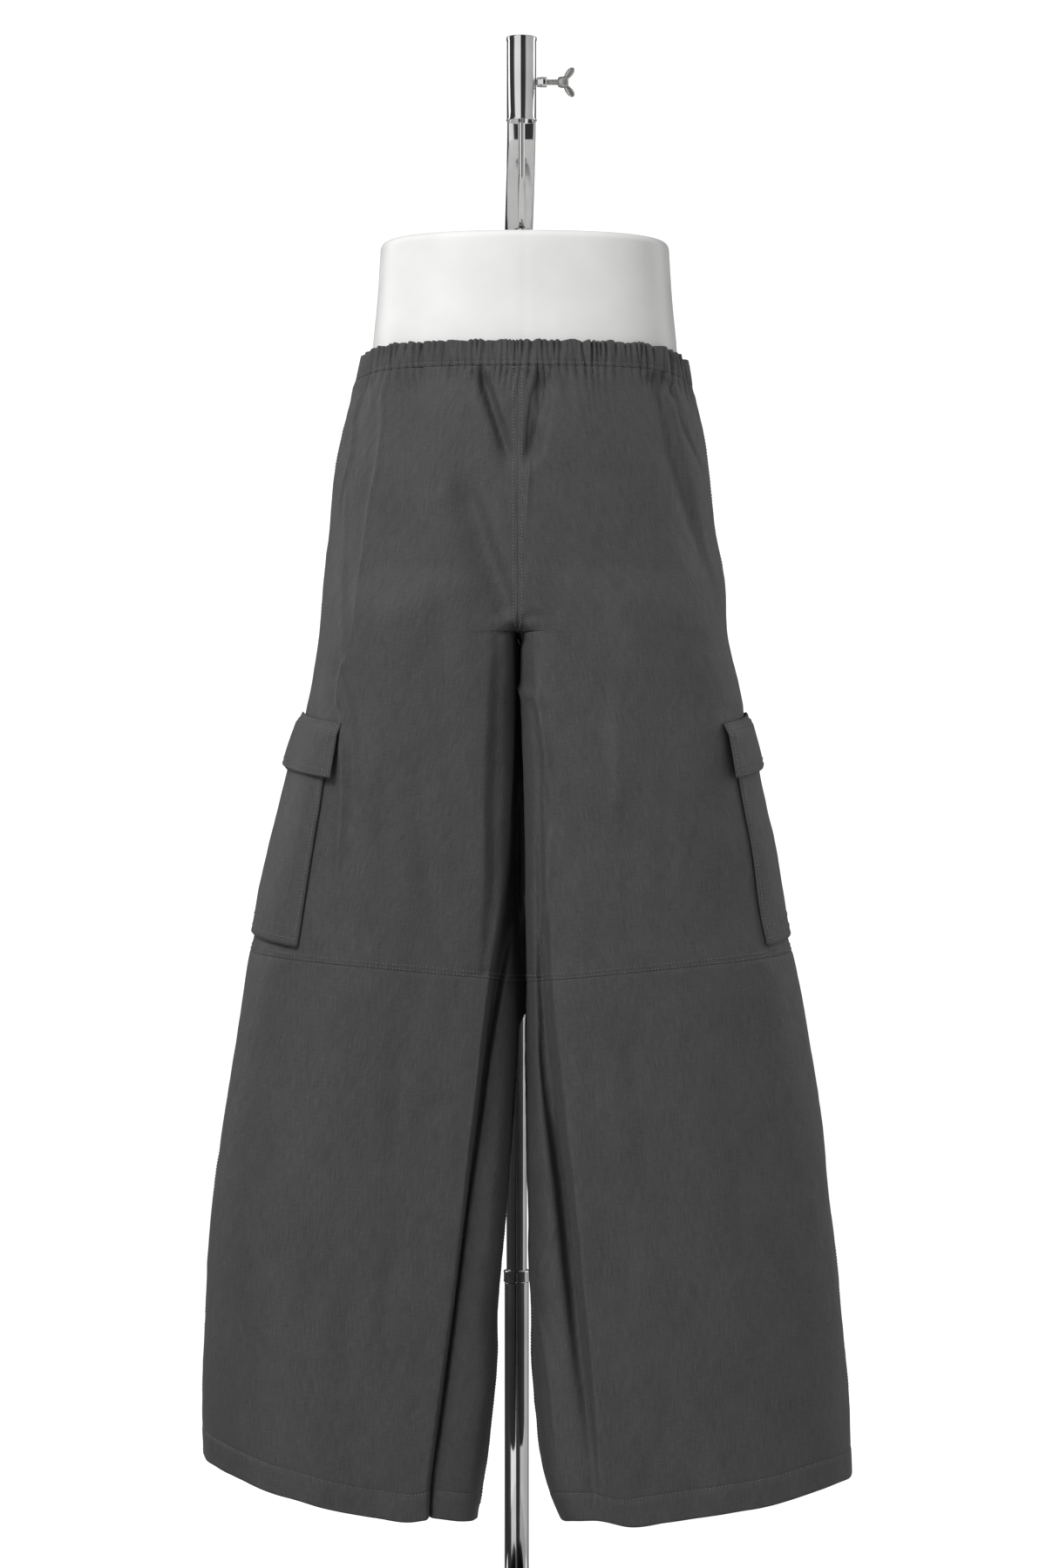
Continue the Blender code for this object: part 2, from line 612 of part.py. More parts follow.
def pocket(maker, leg, kind):
    top, foot, drop, first, last, rows = POCKETS[leg, kind]
    columns = np.arange(2 * COLUMNS + 1) / (2 * COLUMNS)
    turns = columns[(columns > first + 0.004) & (columns < last - 0.004)]
    turns = np.array([first, *turns, last])
    under, over = [], []
    for k in range(rows + 1):
        v = k / rows
        row_under, row_over = [], []
        for turn in turns:
            side_ways = abs(2 * turn - first - last) / (last - first)
            z = top + (foot - top) * v - drop * side_ways
            rim = min(1.0, (1 - side_ways) * 5) * min(1.0, v * 6) * min(1.0, (1 - v) * 6)
            if kind == "bag":
                off = 0.5 * WALL + 0.0006 + BAG_SWELL * rim
                wall = POCKET_WALL
            else:
                lift = smooth(v) * (FLAP_LIFT[0] + FLAP_LIFT[1] * (1 - side_ways))
                off = 0.5 * WALL + 0.0006 + lift + (POCKET_WALL + 0.0012) * smooth(v * 4.0)
                wall = FLAP_WALL
            row_under.append(pocket_point(leg, turn, z, off))
            row_over.append(pocket_point(leg, turn, z, off + wall))
        under.append(row_under)
        over.append(row_over)
    return maker.mesh(f"pocket_{kind}_{leg}", *shell(over, under), "cloth")


def waistband(maker):
    """The gathered casing: the garment's surface carried on upward, with a wall behind it."""
    round_the_waist = [("right", "front", 1), ("left", "front", 0)]
    round_the_waist += [("left", "back", 1), ("right", "back", 0)]
    rings = [[], [], [], []]
    for leg, side, start in round_the_waist:
        share = np.linspace(0.0, 1.0, GATHERS, endpoint=False)
        share = 1.0 - share if start else share
        low = waist_height(leg, side, share) + SEAT
        foot = place(leg, side, share, low)
        wave = gather(band_heading(foot[:, 0], foot[:, 1]))
        levels = ((0.0, low), (0.0, low + BAND_HEIGHT))
        levels += ((-BAND_WALL, low + BAND_HEIGHT), (-BAND_WALL, low))
        for ring, (off, z) in zip(rings, levels):
            n = outward(leg, side, share, z)
            n[:, 2] = 0.0
            n /= np.linalg.norm(n, axis=1, keepdims=True)
            ring.extend(place(leg, side, share, z) + n * (wave + off)[:, None])
    count = len(rings[0])
    faces = []
    for ring in range(4):
        for i in range(count):
            j = (i + 1) % count
            a0, b0 = ring * count, ((ring + 1) % 4) * count
            faces.append((a0 + i, a0 + j, b0 + j, b0 + i))
    return maker.mesh("waistband", [v for ring in rings for v in ring], faces, "cloth")


# ---------------------------------------------------------------- form and stand
def hip_form(maker):
    steps = 36
    angle = np.linspace(0, 2 * math.pi, steps, endpoint=False)
    cos, sin = np.cos(angle), np.sin(angle)
    verts = []
    for z, half, front, back in FORM:
        b = np.where(sin > 0, front, back)
        n = FORM_SQUARE
        r = ((np.abs(cos) / half) ** n + (np.abs(sin) / b) ** n) ** (-1 / n)
        verts.extend(np.stack([BAND_CENTRE_X + r * cos, -r * sin, np.full(steps, z)], axis=1))
    faces = []
    for k in range(len(FORM) - 1):
        for i in range(steps):
            j = (i + 1) % steps
            faces.append((k * steps + i, k * steps + j, (k + 1) * steps + j, (k + 1) * steps + i))
    faces.append(tuple(range(steps)))
    faces.append(tuple((len(FORM) - 1) * steps + i for i in range(steps)))
    return maker.mesh("hip_form", verts, faces, "form")


def tube_profile(r_out, r_in, low, high):
    return [(r_out, high), (r_out, low), (r_in, low), (r_in, high)]


def neck(maker):
    """The top of the pole: bent forward over the form and pressed flat behind the sleeve."""
    rows, steps = 13, 16
    z0, z1, z2 = UPPER_TUBE_Z[1] + SEAT, 1.362, 1.418
    y_flat = SLEEVE_R + SEAT + 0.0022
    angle = np.linspace(0, 2 * math.pi, steps, endpoint=False)
    path = []
    for k in range(rows):
        u = k / (rows - 1)
        z = z0 + (z2 - z0) * u
        s = float(smooth((z - z0) / (z1 - z0)))
        path.append((POLE_X + (SLEEVE_X - POLE_X) * s, POLE_Y + (y_flat - POLE_Y) * s, z, s))
    verts = []
    for k, (x, y, z, s) in enumerate(path):
        ahead, behind = path[min(k + 1, rows - 1)], path[max(k - 1, 0)]
        slope = np.array([0.0, ahead[1] - behind[1], ahead[2] - behind[2]])
        if k in (0, rows - 1):
            slope = np.array([0.0, 0.0, 1.0])
        slope /= np.linalg.norm(slope)
        across = np.array([1.0, 0.0, 0.0])
        facing = np.cross(slope, across)
        flat = float(smooth((z - z0) / (1.335 - z0)))
        half_w = UPPER_R + (0.0129 - UPPER_R) * float(smooth((z - z0) / (FORM_TOP - z0)))
        half_t = UPPER_R + (0.0022 - UPPER_R) * flat
        n = 2.0 + 1.6 * flat
        for a in angle:
            c, d = math.cos(a), math.sin(a)
            r = (abs(c / half_w) ** n + abs(d / half_t) ** n) ** (-1 / n)
            verts.append(np.array([x, y, z]) + across * r * c + facing * r * d)
    faces = []
    for k in range(rows - 1):
        for i in range(steps):
            j = (i + 1) % steps
            faces.append((k * steps + i, k * steps + j, (k + 1) * steps + j, (k + 1) * steps + i))
    faces.append(tuple(range(steps)))
    faces.append(tuple((rows - 1) * steps + i for i in range(steps)))
    return maker.mesh("neck", verts, faces, "chrome")


def wing_screw(maker):
    """A threaded shank along X with a round hub and two swept wings."""
    lie = (0.0, math.pi / 2, 0.0)
    at = (SLEEVE_X, 0.0, SCREW_Z)
    tip = ROD_R + SEAT
    shank = [(0.0, 0.0420), (0.0046, 0.0420), (0.0052, 0.0405), (0.0052, 0.0360), (0.0040, 0.0335)]
    shank += [(0.0026, 0.0330), (0.0026, tip + 0.0006), (0.0020, tip), (0.0, tip)]
    bm = bmesh.new()
    steps = 16
    rings = []
    for r, h in shank:
        if r == 0:
            rings.append([bm.verts.new((h, 0, 0))])
        else:
            rings.append(
                [
                    bm.verts.new(
                        (h, r * math.cos(2 * math.pi * i / steps), r * math.sin(2 * math.pi * i / steps))
                    )
                    for i in range(steps)
                ]
            )
    for a, b in zip(rings, rings[1:]):
        for i in range(steps):
            j = (i + 1) % steps
            if len(a) == 1:
                bm.faces.new((a[0], b[i], b[j]))
            elif len(b) == 1:
                bm.faces.new((a[i], a[j], b[0]))
            else:
                bm.faces.new((a[i], a[j], b[j], b[i]))
    bmesh.ops.recalc_face_normals(bm, faces=bm.faces[:])
    mesh = bpy.data.meshes.new("wing_screw")
    bm.to_mesh(mesh)
    bm.free()
    mesh.materials.append(maker.paint["zinc"])
    mesh.shade_smooth()
    obj = bpy.data.objects.new("wing_screw", mesh)
    maker.parts.objects.link(obj)
    obj.location = at
    for sign in (1, -1):
        wing_mesh = bpy.data.meshes.new("wing")
        wing_bm = bmesh.new()
        bmesh.ops.create_uvsphere(wing_bm, u_segments=10, v_segments=6, radius=1.0)
        bmesh.ops.scale(wing_bm, vec=(0.0034, 0.0016, 0.0066), verts=wing_bm.verts)
        wing_bm.to_mesh(wing_mesh)
        wing_bm.free()
        wing = bpy.data.objects.new(f"wing_{'up' if sign > 0 else 'down'}", wing_mesh)
        maker.cutters.objects.link(wing)
        wing.location = (SLEEVE_X + 0.0425, 0.0, SCREW_Z + sign * 0.0078)
        wing.rotation_euler = (0.0, sign * math.radians(38), 0.0)
        wing.hide_render = True
        wing.display_type = "WIRE"
        cut(obj, wing, "UNION")
    return obj


def stand(maker):
    maker.cylinder("base_plate", BASE_R, 0.0, BASE_H, 48, "chrome", at=(0.0, 0.0, 0.0))
    bevel = bpy.data.objects["base_plate"].modifiers.new("edge", "BEVEL")
    bevel.width = 0.0015
    bevel.segments = 1
    bevel.limit_method = "ANGLE"
    at = (POLE_X, POLE_Y, 0.0)
    foot = BASE_H + SEAT
    maker.turned(
        "base_socket",
        [(0.0130, 0.0215), (0.0165, 0.0190), (0.0200, foot + 0.0015), (0.0200, foot)]
        + [(LOWER_R + SEAT, foot), (LOWER_R + SEAT, 0.0215)],
        32,
        "chrome",
        at,
    )
    maker.turned(
        "lower_tube",
        tube_profile(LOWER_R, UPPER_R + SEAT, foot, COLLAR_Z[0] - SEAT),
        24,
        "chrome",
        at,
    )
    maker.turned(
        "collar",
        [
            (COLLAR_R - 0.0006, COLLAR_Z[1]),
            (COLLAR_R, COLLAR_Z[1] - 0.0008),
            (COLLAR_R, COLLAR_Z[0] + 0.0006),
            (COLLAR_R - 0.0006, COLLAR_Z[0]),
            (UPPER_R + SEAT, COLLAR_Z[0]),
            (UPPER_R + SEAT, COLLAR_Z[1]),
        ],
        24,
        "chrome",
        at,
    )
    maker.turned("upper_tube", tube_profile(UPPER_R, UPPER_BORE, *UPPER_TUBE_Z), 24, "chrome", at)
    neck(maker)
    at = (SLEEVE_X, 0.0, 0.0)
    low, high = SLEEVE_Z
    rim = SLEEVE_R + 0.0002
    sleeve = maker.turned(
        "top_sleeve",
        [(rim, high), (rim, high - 0.0022), (SLEEVE_R - 0.0003, high - 0.0032)]
        + [(SLEEVE_R - 0.0003, low + 0.0022), (rim, low + 0.0014), (rim, low)]
        + [(SLEEVE_BORE, low), (SLEEVE_BORE, high)],
        24,
        "chrome",
        at,
    )
    hole = maker.cylinder(
        "screw_hole", 0.0029, 0.006, 0.020, 16, "", (SLEEVE_X, 0, SCREW_Z), (0, math.pi / 2, 0)
    )
    cut(sleeve, hole)
    maker.turned(
        "screw_boss",
        [(0.0046, 0.0226), (0.0046, 0.0170), (0.0040, SLEEVE_R), (0.0029, SLEEVE_R)]
        + [(0.0029, 0.0226)],
        16,
        "chrome",
        (SLEEVE_X, 0, SCREW_Z),
        (0, math.pi / 2, 0),
    )
    wing_screw(maker)
    top = FORM_TOP + SEAT
    maker.cylinder("hanger_rod", ROD_R, top, 1.412, 16, "chrome", (SLEEVE_X, 0, 0))
    maker.turned(
        "rod_foot",
        [(0.0068, 1.2565), (0.0080, 1.2550), (0.0080, top), (ROD_R + SEAT, top)]
        + [(ROD_R + SEAT, 1.2565)],
        24,
        "chrome",
        (SLEEVE_X, 0, 0),
    )


def main():
    clear_scene()
    maker = Maker()
    waistband(maker)
    for leg in ("left", "right"):
        for side in ("front", "back"):
            upper_panel(maker, leg, side)
            lower_panel(maker, leg, side)
        pocket(maker, leg, "bag")
        pocket(maker, leg, "flap")
    hip_form(maker)
    stand(maker)


main()
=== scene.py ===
"""Looks of wide-leg rain pants on a limbless hip form that hangs on a chrome stand.

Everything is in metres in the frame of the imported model: +Z up, -Y to the front.
"""

from __future__ import annotations

import logging
import math
from dataclasses import dataclass, field
from enum import Enum
from typing import Callable, Iterable, Sequence

import bmesh
import bpy
import numpy as np
from mathutils import Matrix, Vector

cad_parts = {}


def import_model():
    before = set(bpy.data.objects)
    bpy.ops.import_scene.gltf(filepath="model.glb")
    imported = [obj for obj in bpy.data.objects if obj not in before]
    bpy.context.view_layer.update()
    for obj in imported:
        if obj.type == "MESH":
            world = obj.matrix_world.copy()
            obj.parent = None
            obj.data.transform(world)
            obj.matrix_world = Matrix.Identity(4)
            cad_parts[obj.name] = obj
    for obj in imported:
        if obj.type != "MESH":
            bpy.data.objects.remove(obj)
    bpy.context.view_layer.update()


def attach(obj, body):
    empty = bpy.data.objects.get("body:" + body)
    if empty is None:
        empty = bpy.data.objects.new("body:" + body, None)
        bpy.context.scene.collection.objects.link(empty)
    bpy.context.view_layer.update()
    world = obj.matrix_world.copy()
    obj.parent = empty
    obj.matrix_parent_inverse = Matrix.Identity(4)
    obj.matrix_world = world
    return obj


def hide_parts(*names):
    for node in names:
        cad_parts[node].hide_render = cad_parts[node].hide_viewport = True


LOG = logging.getLogger("rain_pants")

# points and outward normals along a line on the cloth
Line = tuple[np.ndarray, np.ndarray]


# ------------------------------------------------------------------ named options
class Leg(Enum):
    """The two legs, named as the front view shows them."""

    LEFT = "left"
    RIGHT = "right"

    @property
    def sign(self) -> float:
        """Side of the middle plane."""
        return -1.0 if self is Leg.LEFT else 1.0


class Side(Enum):
    """Front and back of a leg."""

    FRONT = "front"
    BACK = "back"

    @property
    def facing(self) -> float:
        """Sign of Y that this side faces."""
        return -1.0 if self is Side.FRONT else 1.0


class Row(Enum):
    """Where a line of stitching runs."""

    WAIST = "waist"
    CENTRE = "centre"
    SIDE = "side"
    INSEAM = "inseam"
    KNEE = "knee"
    HEM = "hem"
    POCKET = "pocket"


# ------------------------------------------------------------------ number helpers
def smooth(x: np.ndarray | float) -> np.ndarray:
    """Rise from 0 to 1 with level ends.

    Args:
        x: Values, clipped to 0..1.

    Returns:
        The eased values.
    """
    x = np.clip(x, 0.0, 1.0)
    return x * x * (3.0 - 2.0 * x)


def table_curve(xs: np.ndarray, ys: np.ndarray, x: np.ndarray) -> np.ndarray:
    """Read a table through a smooth curve.

    Args:
        xs: Rising positions of the rows.
        ys: Values of the rows.
        x: Where to read.

    Returns:
        The values at x.
    """
    x = np.clip(x, xs[0], xs[-1])
    slope = np.gradient(ys, xs)
    i = np.clip(np.searchsorted(xs, x, side="right") - 1, 0, len(xs) - 2)
    h = xs[i + 1] - xs[i]
    u = (x - xs[i]) / h
    return (
        (2 * u**3 - 3 * u**2 + 1) * ys[i]
        + (u**3 - 2 * u**2 + u) * h * slope[i]
        + (3 * u**2 - 2 * u**3) * ys[i + 1]
        + (u**3 - u**2) * h * slope[i + 1]
    )


def unit(v: np.ndarray) -> np.ndarray:
    """Scale vectors in the last axis to length one."""
    return v / np.maximum(np.linalg.norm(v, axis=-1, keepdims=True), 1e-12)


def waves(
    heading: np.ndarray, start: np.ndarray | float, table: Sequence[tuple[float, float, float]]
) -> np.ndarray:
    """Add sine waves that run round the waist.

    Args:
        heading: Direction round the waist.
        start: What they are added to.
        table: Size, count round the waist and shift of each wave.

    Returns:
        The sum.
    """
    for size, count, shift in table:
        start = start + size * np.sin(count * heading + shift)
    return start


@dataclass(frozen=True)
class Swell:
    """Seeded smooth noise in space, the same wherever two pieces meet."""

    seed: int
    size: tuple[float, float, float]

    def at(self, points: np.ndarray) -> np.ndarray:
        """Read the noise.

        Args:
            points: Places, with x, y, z in the last axis.

        Returns:
            Values of about -1 to 1.
        """
        rng = np.random.default_rng(self.seed)
        count = 32
        lattice = rng.uniform(-1.0, 1.0, (count, count, count))
        p = points / np.array(self.size) + 7.3
        base = np.floor(p).astype(int)
        f = p - base
        w = f * f * (3 - 2 * f)
        out = np.zeros(points.shape[:-1])
        for dx in (0, 1):
            for dy in (0, 1):
                for dz in (0, 1):
                    wx = w[..., 0] if dx else 1 - w[..., 0]
                    wy = w[..., 1] if dy else 1 - w[..., 1]
                    wz = w[..., 2] if dz else 1 - w[..., 2]
                    value = lattice[
                        (base[..., 0] + dx) % count,
                        (base[..., 1] + dy) % count,
                        (base[..., 2] + dz) % count,
                    ]
                    out += wx * wy * wz * value
        return out


# ------------------------------------------------------------------ mesh helpers
def linked(name: str, data: bpy.types.ID) -> bpy.types.Object:
    """Put a mesh, light or camera into the scene as an object."""
    obj = bpy.data.objects.new(name, data)
    bpy.context.scene.collection.objects.link(obj)
    return obj


def from_bmesh(name: str, bm: bmesh.types.BMesh) -> bpy.types.Object:
    """Turn a bmesh into a smoothly shaded object, and free it.

    Args:
        name: Name of the piece.
        bm: The bmesh, which is used up.

    Returns:
        The linked object.
    """
    mesh = bpy.data.meshes.new(name)
    bm.to_mesh(mesh)
    bm.free()
    mesh.shade_smooth()
    return linked(name, mesh)


def make_mesh(
    name: str,
    points: np.ndarray,
    quads: np.ndarray,
    uv: np.ndarray | None = None,
    soft: bool = True,
) -> bpy.types.Object:
    """Make an object from points and four-cornered faces.

    Args:
        name: Name of the piece.
        points: Corner places, one row each.
        quads: Indices of each face's corners; a repeated last corner makes a triangle.
        uv: Surface position of each point in metres, if a pattern follows it.
        soft: Shade the faces smoothly.

    Returns:
        The linked object, at the origin.
    """
    mesh = bpy.data.meshes.new(name)
    quads = np.asarray(quads, dtype=np.int32)
    if quads.shape[1] == 4 and np.any(quads[:, 2] == quads[:, 3]):
        faces = [tuple(q[:3]) if q[2] == q[3] else tuple(q) for q in quads.tolist()]
        mesh.from_pydata(points.tolist(), [], faces)
    else:
        side = quads.shape[1]
        mesh.vertices.add(len(points))
        mesh.vertices.foreach_set("co", points.astype(np.float32).ravel())
        mesh.loops.add(quads.size)
        mesh.loops.foreach_set("vertex_index", quads.ravel())
        mesh.polygons.add(len(quads))
        mesh.polygons.foreach_set("loop_start", np.arange(len(quads), dtype=np.int32) * side)
        mesh.update(calc_edges=True)
    if uv is not None:
        layer = mesh.uv_layers.new(name="cloth")
        corner = np.empty(len(mesh.loops), dtype=np.int32)
        mesh.loops.foreach_get("vertex_index", corner)
        layer.data.foreach_set("uv", uv[corner].astype(np.float32).ravel())
    mesh.validate()
    if soft:
        mesh.shade_smooth()
    return linked(name, mesh)


def grid_faces(rows: int, columns: int, first: int = 0, loop: bool = False) -> np.ndarray:
    """Faces of a grid of points.

    Args:
        rows: Points down.
        columns: Points across.
        first: Index of the first point.
        loop: Join the last column to the first.

    Returns:
        One row of four indices a face.
    """
    across = columns if loop else columns - 1
    k, i = np.meshgrid(np.arange(rows - 1), np.arange(across), indexing="ij")
    j = (i + 1) % columns
    a = first + k * columns + i
    b = first + k * columns + j
    return np.stack([a, b, b + columns, a + columns], axis=-1).reshape(-1, 4)


def turned_piece(
    name: str,
    profile: Sequence[tuple[float, float]],
    centre: tuple[float, float],
    steps: int = 96,
    closed: bool = True,
) -> bpy.types.Object:
    """Turn a profile round an upright axis.

    Args:
        name: Name of the piece.
        profile: Radius and height of each point, anticlockwise in the radius-height plane.
        centre: X and Y of the axis.
        steps: Faces round the piece.
        closed: Join the last point of the profile to the first.

    Returns:
        The piece, with its faces outward.
    """
    angle = np.linspace(0.0, 2.0 * math.pi, steps, endpoint=False)
    bm = bmesh.new()
    rings = []
    for r, z in profile:
        turns = angle if r > 0 else angle[:1]
        places = [(centre[0] + r * math.cos(a), centre[1] + r * math.sin(a), z) for a in turns]
        rings.append([bm.verts.new(place) for place in places])
    pairs = list(zip(rings, rings[1:])) + ([(rings[-1], rings[0])] if closed else [])
    for low, high in pairs:
        if len(low) == 1 and len(high) == 1:
            continue
        for i in range(steps):
            j = (i + 1) % steps
            if len(low) == 1:
                bm.faces.new((low[0], high[i], high[j]))
            elif len(high) == 1:
                bm.faces.new((low[i], low[j], high[0]))
            else:
                bm.faces.new((low[i], low[j], high[j], high[i]))
    bmesh.ops.recalc_face_normals(bm, faces=bm.faces[:])
    return from_bmesh(name, bm)


def walled_mesh(
    name: str, outer: np.ndarray, inner: np.ndarray, normals: np.ndarray, uv: np.ndarray
) -> bpy.types.Object:
    """Make a sheet with a thickness: two grids of points, and a rim that joins their edges.

    Args:
        name: Name of the piece.
        outer: Points of the outer face.
        inner: Points of the inner face.
        normals: Outward normals of the grid's points.
        uv: Surface position of the grid's points in metres.

    Returns:
        The linked object.
    """
    rows, columns = outer.shape[:2]
    count = rows * columns
    across, down = outer[:-1, 1:] - outer[:-1, :-1], outer[1:, :-1] - outer[:-1, :-1]
    flip = (np.cross(across, down) * normals[:-1, :-1]).sum() < 0
    face = grid_faces(rows, columns)
    outside = face[:, ::-1] if flip else face
    inside = (face if flip else face[:, ::-1]) + count
    edge = [
        np.arange(columns),
        np.arange(2, rows) * columns - 1,
        count - 1 - np.arange(columns),
        np.arange(rows - 2, 0, -1) * columns,
    ]
    edge = np.concatenate(edge)
    after = np.roll(edge, -1)
    rim = np.stack([edge, after, after + count, edge + count], axis=1)
    rim = rim if flip else rim[:, ::-1]
    points = np.concatenate([outer.reshape(-1, 3), inner.reshape(-1, 3)])
    uv = uv.reshape(-1, 2)
    return make_mesh(name, points, np.concatenate([outside, inside, rim]), np.concatenate([uv, uv]))


def closed_loft(
    name: str, rings: np.ndarray, foot: Sequence[float], head: Sequence[float]
) -> bpy.types.Object:
    """Join rings of points into a skin that is closed at both ends.

    Args:
        name: Name of the piece.
        rings: Points, one row a ring.
        foot: Point that closes the first ring.
        head: Point that closes the last ring.

    Returns:
        The linked object, with its faces outward.
    """
    rows, steps = rings.shape[:2]
    count = rows * steps
    i = np.arange(steps)
    j = (i + 1) % steps
    fans = []
    for a, b, middle in ((i, j, count), (count - steps + j, count - steps + i, count + 1)):
        fans.append(np.stack([a, b, np.full_like(i, middle), np.full_like(i, middle)], axis=1))
    points = np.concatenate([rings.reshape(-1, 3), [foot], [head]])
    obj = make_mesh(name, points, np.concatenate([grid_faces(rows, steps, loop=True), *fans]))
    bm = bmesh.new()
    bm.from_mesh(obj.data)
    bmesh.ops.recalc_face_normals(bm, faces=bm.faces[:])
    bm.to_mesh(obj.data)
    bm.free()
    return obj


def bake_modifiers(obj: bpy.types.Object) -> bpy.types.Object:
    """Turn an object's modifiers into plain mesh.

    Args:
        obj: The piece.

    Returns:
        The same piece, without modifiers.
    """
    graph = bpy.context.evaluated_depsgraph_get()
    graph.update()
    mesh = bpy.data.meshes.new_from_object(obj.evaluated_get(graph), depsgraph=graph)
    old = obj.data
    obj.modifiers.clear()
    obj.data = mesh
    mesh.name = obj.name
    if isinstance(old, bpy.types.Mesh) and old.users == 0:
        bpy.data.meshes.remove(old)
    return obj


def joined(name: str, pieces: Sequence[bpy.types.Object]) -> bpy.types.Object:
    """Join meshes into one piece.

    Args:
        name: Name of the result.
        pieces: The meshes, which are used up.

    Returns:
        The piece.
    """
    bm = bmesh.new()
    for piece in pieces:
        bm.from_mesh(piece.data)
    for piece in pieces:
        bpy.data.objects.remove(piece, do_unlink=True)
    return from_bmesh(name, bm)


